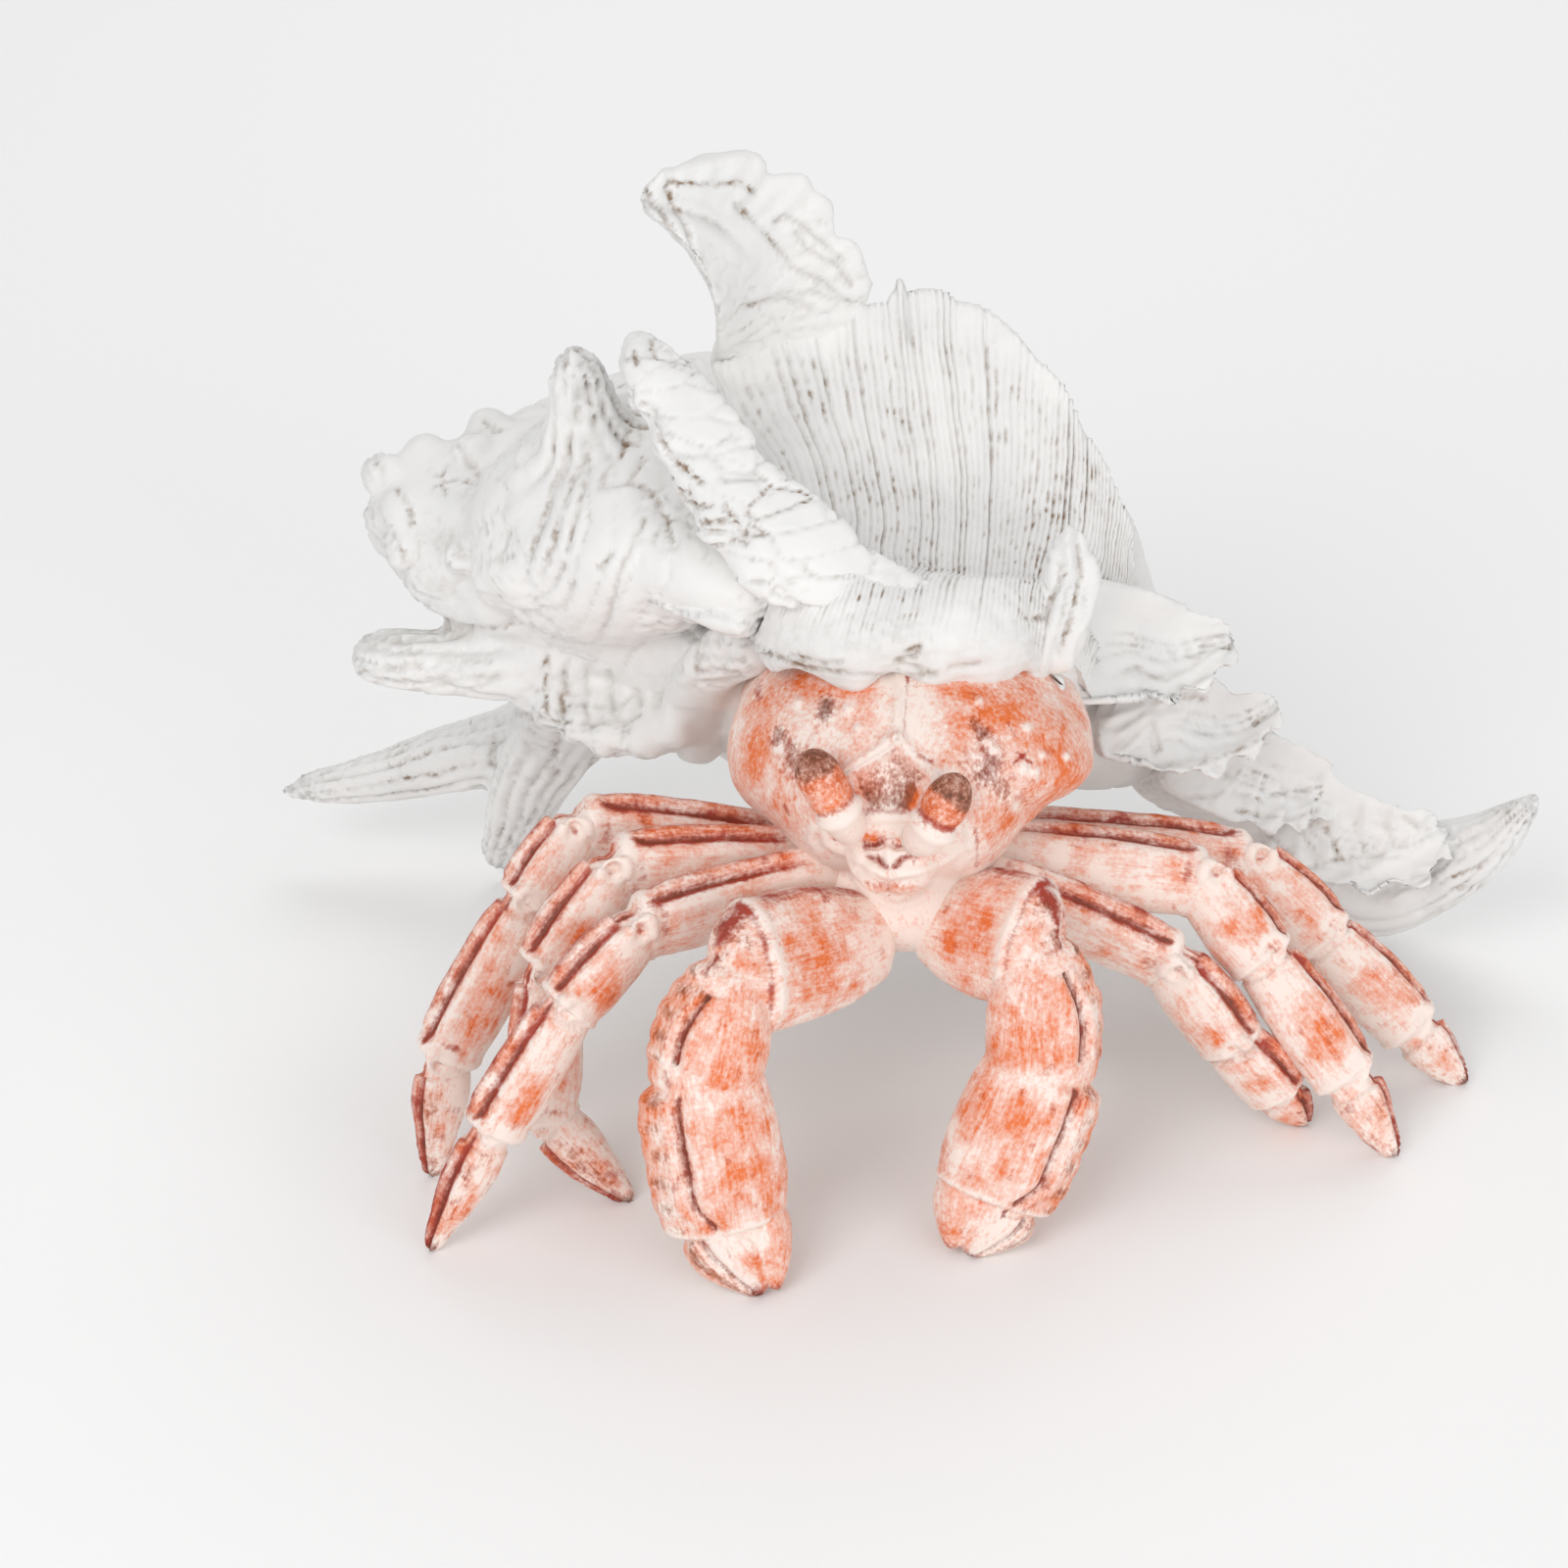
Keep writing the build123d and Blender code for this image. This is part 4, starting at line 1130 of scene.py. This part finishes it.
class FIGURINE_OT_siphon_canal(bpy.types.Operator):
    """Long canal at the right of the shell with its row of fronds"""
    bl_idname = "figurine.siphon_canal"
    bl_label = "Siphon Canal"

    def execute(self, context):
        settings = context.scene.figurine_shell
        canal = Loft(SIPHON_CANAL, UP)
        fronds = [Loft(rows, VIEWER, curl=5.0) for rows in FRONDS.values()]

        def frill(shares, turns):
            waves = 1.2 * np.sin(shares * 31.0 + turns * 0.02)
            return waves * bell_round(turns, 180, 45) * ease(0.35, 0.55, shares)

        bm = bmesh.new()
        add_loft(bm, canal, rings=64, around=48)
        for loft in fronds:
            add_loft(bm, loft, rings=72, around=56, relief=frill)

        def shape(points, normals):
            carving = 0.5 * shell_skin(points, chipped=0.4)
            for loft in [*fronds, canal]:
                carving += spine_ribs(points, loft, count=7, depth=0.9)
            chart = view_chart(points)
            front = facing_front(normals)
            carving += 0.9 * strokes(chart, FROND_FOLDS, 0.9) * front
            for place, radius, depth in FROND_SCOOPS:
                carving -= depth * dot(chart, place, radius) * front
            return carving - 0.5 * cracks(["siphon_canal"], points, normals)

        bm = carve("siphon_canal", bm, shape, step=settings.carving * FINE_SHARE, smoothing=3)
        piece = shell_piece("siphon_canal", bm, ["siphon_canal", *FRONDS])
        wash_from_hollows(piece, ["siphon_canal"], gain=0.9)
        return {"FINISHED"}


class FIGURINE_OT_shell_fan(bpy.types.Operator):
    """Rolled lip over the crab's head and the large ribbed dish behind it, which are one sheet"""
    bl_idname = "figurine.shell_fan"
    bl_label = "Shell Fan"

    def execute(self, context):
        settings = context.scene.figurine_shell
        columns, rows = FAN_CELLS
        table = np.array(FAN)
        bm = bmesh.new()
        wash = bm.verts.layers.float.new("wash")
        made = bmesh.ops.create_grid(bm, x_segments=columns, y_segments=rows, size=0.5)["verts"]
        across, up, _ = np.array([vert.co for vert in made]).T + 0.5
        wide = spline(np.linspace(0, 1, len(table)), np.identity(len(table)), across)
        tall = spline(np.linspace(0, 1, len(table[0])), np.identity(len(table[0])), up)
        places = np.einsum("ni,nj,ijk->nk", wide, tall, table)
        rim = np.linalg.norm(np.diff(table[:, -1], axis=0), axis=1).sum()
        count = round(rim * MM / settings.rib_spacing)

        # Lobes of the lip and of the rim, and the notched point on the rim
        places[:, 2] += 1.3 * np.cos(across * 2 * math.pi * 6) * bell(up, 1 / 6, 0.12)
        places[:, 2] += 1.5 * np.abs(np.sin(across * math.pi * 8)) * ease(0.8, 1.0, up)
        places[:, 2] += 4.0 * bell(across, 0.385, 0.012) * ease(0.85, 1.0, up)

        # Bowed grooves of uneven strength, growth lines across them and a crinkled rim
        wander = 0.35 * rough(places, 9.0, 1.0) + 0.12 * rough(places, 3.0, 6.0)
        bow = (0.05 * ease(0.64, 0.46, up) - 0.03 * bell(up, 0.76, 0.12)) * ease(0.6, 0.35, across)
        phase = (across + bow) * count + wander
        strength = np.array([noise.cell((float(line) * 1.7, 0.5, 0.5)) for line in np.round(phase)])
        groove = bell(phase, np.round(phase), 0.2) * (0.3 + 0.7 * ease(-0.2, 0.9, strength))
        growth = bell(rough(places, (30.0, 4.0, 2.2), 8.0), 0.0, 0.16)
        crinkle = ease(0.75, 1.0, up) * rough(places, (4.0, 4.0, 12.0), 3.0)
        dish = ease(0.27, 0.56, up)
        carving = -0.8 * groove * dish - 0.2 * growth + 1.2 * crinkle + 0.7 * rough(places, 14.0, 2.0)
        carving += lumpy(places, LIP_LUMPS) * (1.0 - 0.7 * ease(0.4, 0.6, up))

        for vert, place in zip(made, (places * MM).tolist()):
            vert.co = place
        bmesh.ops.recalc_face_normals(bm, faces=bm.faces)
        bm.normal_update()
        if sum(vert.normal.z for vert in made[::50]) < 0:
            bmesh.ops.reverse_faces(bm, faces=bm.faces)
            bm.normal_update()
        normals = [vert.normal.copy() for vert in made]
        dark_lines = cracks(["shell_fan"], places, np.array(normals)) * ease(0.62, 0.5, up)
        carving -= 0.5 * dark_lines
        for vert, normal, depth in zip(made, normals, (carving * MM).tolist()):
            vert.co += normal * depth

        # Wash in broken dashes along the grooves, stronger to the right
        dashes = ease(0.1, 0.5, rough(places, (1.6, 1.6, 2.4), 15.0))
        dashes = dashes * ease(-0.65, 0.05, rough(places, 15.0, 30.0))
        worn = dish * groove * (0.5 + 4.0 * dashes) * ease(0.985, 0.94, up)
        worn = worn * (1.0 + 0.8 * ease(0.5, 0.75, across))
        worn = worn + 0.12 * ease(0.5, 0.3, up) + 0.9 * dark_lines
        for vert, dark in zip(made, np.clip(worn, 0, 1).tolist()):
            vert[wash] = dark

        piece = shell_piece("shell_fan", bm, ["shell_fan", "shell_lip"])
        thick = piece.vertex_groups.new(name="thick")
        for index, weight in enumerate((1.0 - ease(0.8, 1.0, up)).tolist()):
            thick.add([index], weight, "REPLACE")
        wall = piece.modifiers.new("wall", "SOLIDIFY")
        wall.thickness = FAN_WALL * MM
        wall.vertex_group = thick.name
        wall.thickness_vertex_group = FAN_RIM_SHARE
        wall.offset = -1.0
        return {"FINISHED"}


class FIGURINE_OT_crab_body(bpy.types.Operator):
    """Head shield and chest of the crab"""
    bl_idname = "figurine.crab_body"
    bl_label = "Crab Body"

    def execute(self, context):
        settings = context.scene.figurine_crab
        bm = bmesh.new()
        add_loft(bm, Loft(HEAD, UP), rings=96, around=96)
        add_loft(bm, Loft(CHEST, UP), rings=64, around=64)
        bm = carve("crab_body", bm, face_relief, step=settings.carving, smoothing=5)
        paint_face(crab_piece("crab_body", bm, ["crab_body"]))
        return {"FINISHED"}


def set_paint(piece, coat, grain):
    """Stores the paint of each point of a piece, and the squeezed places that its brush streaks follow."""
    layer = piece.data.attributes.new("paint", "FLOAT_COLOR", "POINT")
    layer.data.foreach_set("color", coat.ravel().astype(np.float32))
    layer = piece.data.attributes.new("grain", "FLOAT_VECTOR", "POINT")
    layer.data.foreach_set("vector", (grain * MM).ravel().astype(np.float32))


def paint_face(piece):
    """Paints a carved piece of the face with upright streaks."""
    points = read(piece.data, "co") / MM
    set_paint(piece, face_paint(points, read(piece.data, "normal")), points * (1.0, 1.0, 0.3))


def segment_rows(start, end, sizes, swell, overlap):
    """Rows of ovals for a limb segment that runs a little into its neighbours."""
    start, end = np.asarray(start, float), np.asarray(end, float)
    along = unit(end - start)
    start, end = start - along * overlap, end + along * overlap
    wide, thick = sizes
    return [(*(start + (end - start) * place), wide * share, thick * share) for place, share in swell]


def coats(orange, red, brown):
    """Paint layers side by side."""
    orange, red, brown = np.broadcast_arrays(orange, red, brown)
    return np.stack((orange, red, brown, np.ones_like(orange)), axis=1)


def add_ring(bm, centre, axis):
    """Adds a small raised ring at a place in mm."""
    axis = Vector(axis).normalized()
    aside = axis.orthogonal().normalized()
    turn = Matrix((aside, axis, aside.cross(axis))).transposed().to_4x4()
    place = Matrix.Translation((Vector(centre) + aside * RING_RADIUS) * MM) @ turn
    made = bmesh.ops.create_circle(bm, segments=12, radius=RING_THICKNESS * MM, matrix=place)["verts"]
    edges = list({edge for vert in made for edge in vert.link_edges})
    bmesh.ops.spin(bm, geom=made + edges, cent=Vector(centre) * MM, axis=axis, angle=2 * math.pi, steps=20,
                   use_merge=True)


def limb_places(points, lofts):
    """The segment that each point lies on, with its share and turn there."""
    found = [loft.near(points) for loft in lofts]
    segment = np.argmin([away for _, _, away in found], axis=0)
    share = np.choose(segment, [share for share, _, _ in found])
    turn = np.choose(segment, [turn for _, turn, _ in found])
    return segment, share, turn


def build_limb(name, lofts, rings, relief, paint):
    """Melts the segments of a limb into one skin, carves it along each segment and paints it."""
    bm = bmesh.new()
    for loft in lofts:
        add_loft(bm, loft, rings=48, around=48)
    for centre, axis in rings:
        add_ring(bm, centre, axis)

    def shape(points, normals):
        return lumpy(points, LIMB_LUMPS) + relief(*limb_places(points, lofts))

    bm = carve(name, bm, shape, step=bpy.context.scene.figurine_crab.carving, smoothing=2)
    piece = crab_piece(name, bm, [name])
    points = read(piece.data, "co") / MM
    segment, share, turn = limb_places(points, lofts)
    coat = paint(segment, share, turn)
    coat[:, 0] *= 1.0 + 0.8 * rough(points, 7.0, 19.0)
    # Dabs of orange, thin enough to stay streaky, and specks of red
    coat[:, 0] += 0.22 * ease(0.05, 0.5, rough(points, 3.6, 29.0))
    coat[:, 0] = np.minimum(coat[:, 0], 0.74)
    coat[:, 1] += 0.35 * ease(0.25, 0.55, rough(points, 2.4, 37.0))
    for centre, _ in rings:
        apart = np.linalg.norm(points - centre, axis=1)
        coat[:, :3] *= 1.0 - 0.9 * bell(apart, RING_RADIUS, 1.0)[:, None]
        coat[:, 1] += 0.8 * bell(apart, 0.0, 0.7)
    along = unit(np.array([loft.rows[-1, :3] - loft.rows[0, :3] for loft in lofts]))[segment]
    set_paint(piece, coat, points - 0.86 * along * (points * along).sum(axis=1)[:, None])


def leg_relief(segment, share, turn):
    """Keel, groove and joint rims of a walking leg."""
    jointed = segment < TOE
    keel = humps(turn, LEG_KEEL) * ease(0.05, 0.25, share) * (1.0 - ease(0.82, 0.92, share) * jointed)
    return keel + jointed * 0.6 * (bell(share, 0.93, 0.04) - bell(share, 1.0, 0.04))


def leg_paint(segment, share, turn):
    """Streaked orange with dark red lines that outline the plates of a walking leg."""
    toe = segment == TOE
    seam = 1.0 - 0.95 * bell(share, 0.94, 0.035) * ~toe
    upper = np.maximum(bell_round(turn, 20, 48), ease(0.7, 0.9, share))
    root = (0.25 + 0.75 * ease(0.05, 0.4, share)) * (0.3 + 0.7 * upper)
    kept = seam * np.where(segment == 0, root, 1.0)
    orange = 0.2 + 0.4 * bell_round(turn, 5, 26) + 0.5 * bell(share, 0.66, 0.22) * bell_round(turn, 85, 40)
    border = bell_round(turn, 19, 9) * ease(0.06, 0.2, share)
    border += 0.6 * bell(share, 0.87, 0.03) * bell_round(turn, 75, 35) * ~toe
    red = 1.1 * border + 0.75 * bell_round(turn, -10, 14) + 0.4 * toe * share
    brown = 0.8 * bell_round(turn, 17, 6) * ease(0.12, 0.5, share)
    brown += toe * (0.35 * bell_round(turn, 60, 40) + 0.5 * ease(0.85, 1.0, share))
    return coats(orange * kept, red * kept, brown * kept)


class FIGURINE_OT_legs(bpy.types.Operator):
    """Six walking legs"""
    bl_idname = "figurine.legs"
    bl_label = "Legs"

    def execute(self, context):
        for name, joints in LEGS.items():
            points = np.array(joints, float)
            side = -1.0 if name.startswith("left") else 1.0
            bend = np.cross(points[1] - points[0], points[3] - points[2])
            face = unit(bend if bend @ np.array(VIEWER) > 0 else -bend)
            lofts = []
            for start, end, sizes in zip(points, points[1:], LEG_SIZES):
                swell, overlap = (POINT_SWELL, 0.6) if len(lofts) == TOE else (LEG_SWELL, 2.0)
                rows = segment_rows(start, end, sizes, swell, overlap)
                lofts.append(Loft(rows, face, side, blunt=(0.1, 0.08)))
            rings = []
            for loft, place, (wide, thick) in zip(lofts[1:], points[1:], LEG_SIZES[1:]):
                edge = loft.frames(np.zeros(1))[1][0]
                rings.append((place + face * thick * 0.8 + edge * wide * 0.35, face))
            build_limb(name, lofts, rings, leg_relief, leg_paint)
        return {"FINISHED"}


def claw_line(segment, share):
    """Turn at which the dark line runs down a claw: it starts at the elbow and bends in at the knuckle."""
    elbow = 42.0 + 32.0 * bell(share, 0.0, 0.3)
    knuckle = 46.0 + 26.0 * ease(0.7, 1.0, share)
    return np.where(segment == FOREARM, elbow, knuckle)


def claw_scallops(share):
    """Bumps along the outer edge of a claw."""
    return np.abs(np.sin(share * 19.0))


def claw_relief(segment, share, turn):
    """Double ridge, scalloped outer edge, joint rims and finger teeth of a claw."""
    arm = (segment == FOREARM) | (segment == HAND)
    line = claw_line(segment, share)
    ridge = humps(turn, ((0.5, line - 13, 8), (-0.9, line, 6), (0.5, line + 13, 8)))
    ridge += 0.4 * bell_round(turn, 2, 20) * claw_scallops(share)
    rim = 0.5 * bell(share, 0.93, 0.022) - 0.4 * bell(share, 0.98, 0.02)
    form = arm * (ridge * ease(0.04, 0.15, share) * (1.0 - ease(0.88, 0.94, share)) + rim)
    shoulder = 0.5 * bell_round(turn, 20, 18) * ease(0.2, 0.5, share) + 0.6 * bell(share, 0.8, 0.03)
    form += (segment == UPPER_ARM) * shoulder
    form += (segment == FINGER) * humps(turn, FINGER_RIDGES)
    teeth = bell_round(turn, 50, 18) * bell(share, 0.5, 0.3) * (0.5 + 0.5 * np.cos(share * 40.0))
    return form + (segment == THUMB) * 0.7 * teeth


def claw_paint(segment, share, turn):
    """Streaked orange, dark red lines, brown outer edge and white joints of a claw."""
    upper_arm = segment == UPPER_ARM
    arm = (segment == FOREARM) | (segment == HAND)
    finger = segment == FINGER
    tips = segment > HAND
    seam = bell(share, np.where(upper_arm, 0.79, 0.935), np.where(upper_arm, 0.035, 0.02))
    seam = 1.0 - 0.95 * seam * ~tips

    above = 0.3 + 0.55 * bell(share, 0.58, 0.25) * bell_round(turn, 90, 50)
    fore = 0.36 + 0.36 * bell(share, 0.55, 0.4) * bell_round(turn, 118, 42) + 0.35 * bell_round(turn, 5, 24)
    claw = humps(turn, ((0.6, 122, 26), (0.4, 20, 25)))
    orange = np.choose(segment, (above * ease(0.0, 0.4, share), fore, fore, claw, np.full(len(turn), 0.45)))
    teeth = 1.0 - (segment == THUMB) * 0.9 * bell_round(turn, 50, 20) * bell(share, 0.5, 0.3)

    line = claw_line(segment, share)
    dark_line = bell_round(turn, line, 5.5) * ease(0.02, 0.1, share)
    fold = upper_arm * ease(0.84, 0.9, share) + (segment == FOREARM) * ease(0.16, 0.08, share)
    fold = fold * bell_round(turn, 30, 60)
    red = arm * (0.95 * dark_line + 0.35 * bell_round(turn, line - 14, 4)) + 0.3 * fold
    red += upper_arm * (0.75 * bell_round(turn, 14, 12) + 0.7 * bell(share, 0.84, 0.016))
    red += finger * 0.8 * bell_round(turn, 56, 7) + tips * 0.6 * ease(0.8, 0.97, share)
    brown = arm * (0.75 * dark_line + 0.6 * bell_round(turn, 20, 15) * claw_scallops(share)) + 0.42 * fold
    brown += (segment == FOREARM) * 0.35 * bell(share, 0.2, 0.08) * bell_round(turn, 55, 22)
    brown += finger * humps(turn, ((0.6, 50, 6), (0.6, 26, 14))) + tips * 0.5 * ease(0.86, 1.0, share)
    return coats(orange * seam * teeth, red * seam, brown * seam)


class FIGURINE_OT_claws(bpy.types.Operator):
    """Two pincer arms"""
    bl_idname = "figurine.claws"
    bl_label = "Claws"

    def execute(self, context):
        for name, joints in CLAWS.items():
            points = np.array(joints, float)
            side = -1.0 if name.startswith("left") else 1.0
            lofts = []
            for start, end, sizes, swell in zip(points, points[1:], CLAW_SIZES, CLAW_SWELLS):
                rows = segment_rows(start, end, sizes, swell, 2.6)
                lofts.append(Loft(rows, VIEWER, side, blunt=(0.12, 0.08)))
            outer = lofts[HAND].frames(np.ones(1))[1][0]
            knuckle, tip = points[3:]
            for wide, thick, beside, ahead in FINGERS:
                start, end = knuckle + outer * beside, tip + outer * ahead
                rows = segment_rows(start, end, (wide, thick), POINT_SWELL, 0.0)
                lofts.append(Loft(rows, VIEWER, side))
            build_limb(name, lofts, [], claw_relief, claw_paint)
        return {"FINISHED"}


class FIGURINE_OT_eyes(bpy.types.Operator):
    """Two eyestalks with dark caps"""
    bl_idname = "figurine.eyes"
    bl_label = "Eyes"

    def execute(self, context):
        for name, (root, collar, cap) in EYES.items():
            root, collar, cap = np.array((root, collar, cap))
            top = cap + unit(cap - collar) * EYE_RADIUS
            middle = collar + (cap - collar) * 0.5
            swell = ((root, 0.9), (collar, 0.95), (middle, 1.0), (top, 1.0))
            rows = [(*place, EYE_RADIUS * share, EYE_RADIUS * share) for place, share in swell]
            loft = Loft(rows, VIEWER, blunt=(0.05, 0.22))
            rim = loft.knots[1]

            def relief(shares, turns):
                return 0.7 * bell(shares, rim, 0.035) - 0.4 * bell(shares, rim + 0.07, 0.03)

            bm = bmesh.new()
            add_loft(bm, loft, rings=72, around=48, relief=relief)
            bmesh.ops.recalc_face_normals(bm, faces=bm.faces)
            piece = crab_piece(name, bm, [name])
            points = read(piece.data, "co") / MM
            share, turn, _ = loft.near(points)
            uneven = 0.05 * rough(points, 2.0) - 0.06 * np.cos(np.radians(turn - 60))
            orange = 0.8 * ease(rim + 0.03, rim + 0.09, share)
            red = 0.6 * bell(share, rim + 0.07, 0.025) + 0.4 * ease(0.5, 0.75, share)
            brown = 0.85 * ease(0.72, 0.84, share + uneven)
            set_paint(piece, coats(orange, red, brown), points)
        return {"FINISHED"}


class FIGURINE_OT_mouthparts(bpy.types.Operator):
    """Mouth plates under the eyes"""
    bl_idname = "figurine.mouthparts"
    bl_label = "Mouthparts"

    def execute(self, context):
        settings = context.scene.figurine_crab
        bm = bmesh.new()
        add_loft(bm, Loft(MOUTH, UP), rings=64, around=64)
        bm = carve("mouthparts", bm, face_relief, step=settings.carving * MOUTH_SHARE, smoothing=4)
        paint_face(crab_piece("mouthparts", bm, ["mouthparts"]))
        return {"FINISHED"}


class FIGURINE_OT_pins(bpy.types.Operator):
    """Wire pins inside the joints"""
    bl_idname = "figurine.pins"
    bl_label = "Pins"

    def execute(self, context):
        wire = drawn_steel_wire()
        for name in ("limb_pins", "eye_pins", "spine_pins"):
            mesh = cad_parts[name].data
            mesh.materials.clear()
            mesh.materials.append(wire)
        return {"FINISHED"}


class FIGURINE_OT_stage(bpy.types.Operator):
    """Pale floor, soft light and the camera"""
    bl_idname = "figurine.stage"
    bl_label = "Stage"

    def execute(self, context):
        settings = context.scene.figurine_stage
        scene = context.scene
        scene.view_settings.view_transform = "Standard"
        bm = bmesh.new()
        bmesh.ops.create_grid(bm, x_segments=1, y_segments=1, size=FLOOR_REACH)
        floor = link_mesh("floor", bm)
        material, _, shader = new_material("matte_white_paper", roughness=0.9)
        shader.inputs["Base Color"].default_value = settings.floor
        floor.data.materials.append(material)
        scene.world = bpy.data.worlds.new("soft_studio")
        scene.world.use_nodes = True
        sky = scene.world.node_tree.nodes["Background"]
        sky.inputs["Color"].default_value = (1.0, 1.0, 1.0, 1.0)
        sky.inputs["Strength"].default_value = SKY_STRENGTH
        for name, (place, size, power) in LAMPS.items():
            lamp = bpy.data.lights.new(name, "AREA")
            lamp.size = size
            lamp.energy = power
            light = bpy.data.objects.new(name, lamp)
            scene.collection.objects.link(light)
            light.location = place
            light.rotation_euler = (Vector(LAMP_AIM) - light.location).to_track_quat("-Z", "Y").to_euler()
        lens = bpy.data.cameras.new("camera")
        lens.lens = settings.lens
        lens.sensor_width = FILM_WIDTH
        camera = bpy.data.objects.new("camera", lens)
        scene.collection.objects.link(camera)
        level = math.cos(settings.elevation)
        back = Vector((math.sin(settings.azimuth) * level,
                       -math.cos(settings.azimuth) * level,
                       math.sin(settings.elevation)))
        camera.location = Vector(settings.target) + back * settings.distance
        camera.rotation_euler = back.to_track_quat("Z", "Y").to_euler()
        scene.camera = camera
        return {"FINISHED"}


PIECE_OPERATORS = (
    FIGURINE_OT_shell_whorl,
    FIGURINE_OT_lip_rib,
    FIGURINE_OT_crown_spine,
    FIGURINE_OT_siphon_canal,
    FIGURINE_OT_shell_fan,
    FIGURINE_OT_crab_body,
    FIGURINE_OT_mouthparts,
    FIGURINE_OT_eyes,
    FIGURINE_OT_claws,
    FIGURINE_OT_legs,
    FIGURINE_OT_pins,
    FIGURINE_OT_stage,
)


class FIGURINE_PT_pieces(bpy.types.Panel):
    """Lists the figurine's pieces"""
    bl_label = "Hermit Crab Figurine"
    bl_idname = "FIGURINE_PT_pieces"
    bl_space_type = "VIEW_3D"
    bl_region_type = "UI"
    bl_category = "Figurine"

    def draw(self, context):
        for operator in PIECE_OPERATORS:
            self.layout.operator(operator.bl_idname)


GROUPS = {"figurine_crab": FigurineCrab, "figurine_shell": FigurineShell, "figurine_stage": FigurineStage}
CLASSES = (*GROUPS.values(), *PIECE_OPERATORS, FIGURINE_PT_pieces)


def register():
    for cls in CLASSES:
        bpy.utils.register_class(cls)
    for name, group in GROUPS.items():
        setattr(bpy.types.Scene, name, PointerProperty(type=group))


def unregister():
    for name in GROUPS:
        delattr(bpy.types.Scene, name)
    for cls in reversed(CLASSES):
        bpy.utils.unregister_class(cls)


def main():
    register()
    for operator in PIECE_OPERATORS:
        group, name = operator.bl_idname.split(".")
        getattr(getattr(bpy.ops, group), name)()


if __name__ == "__main__":
    main()
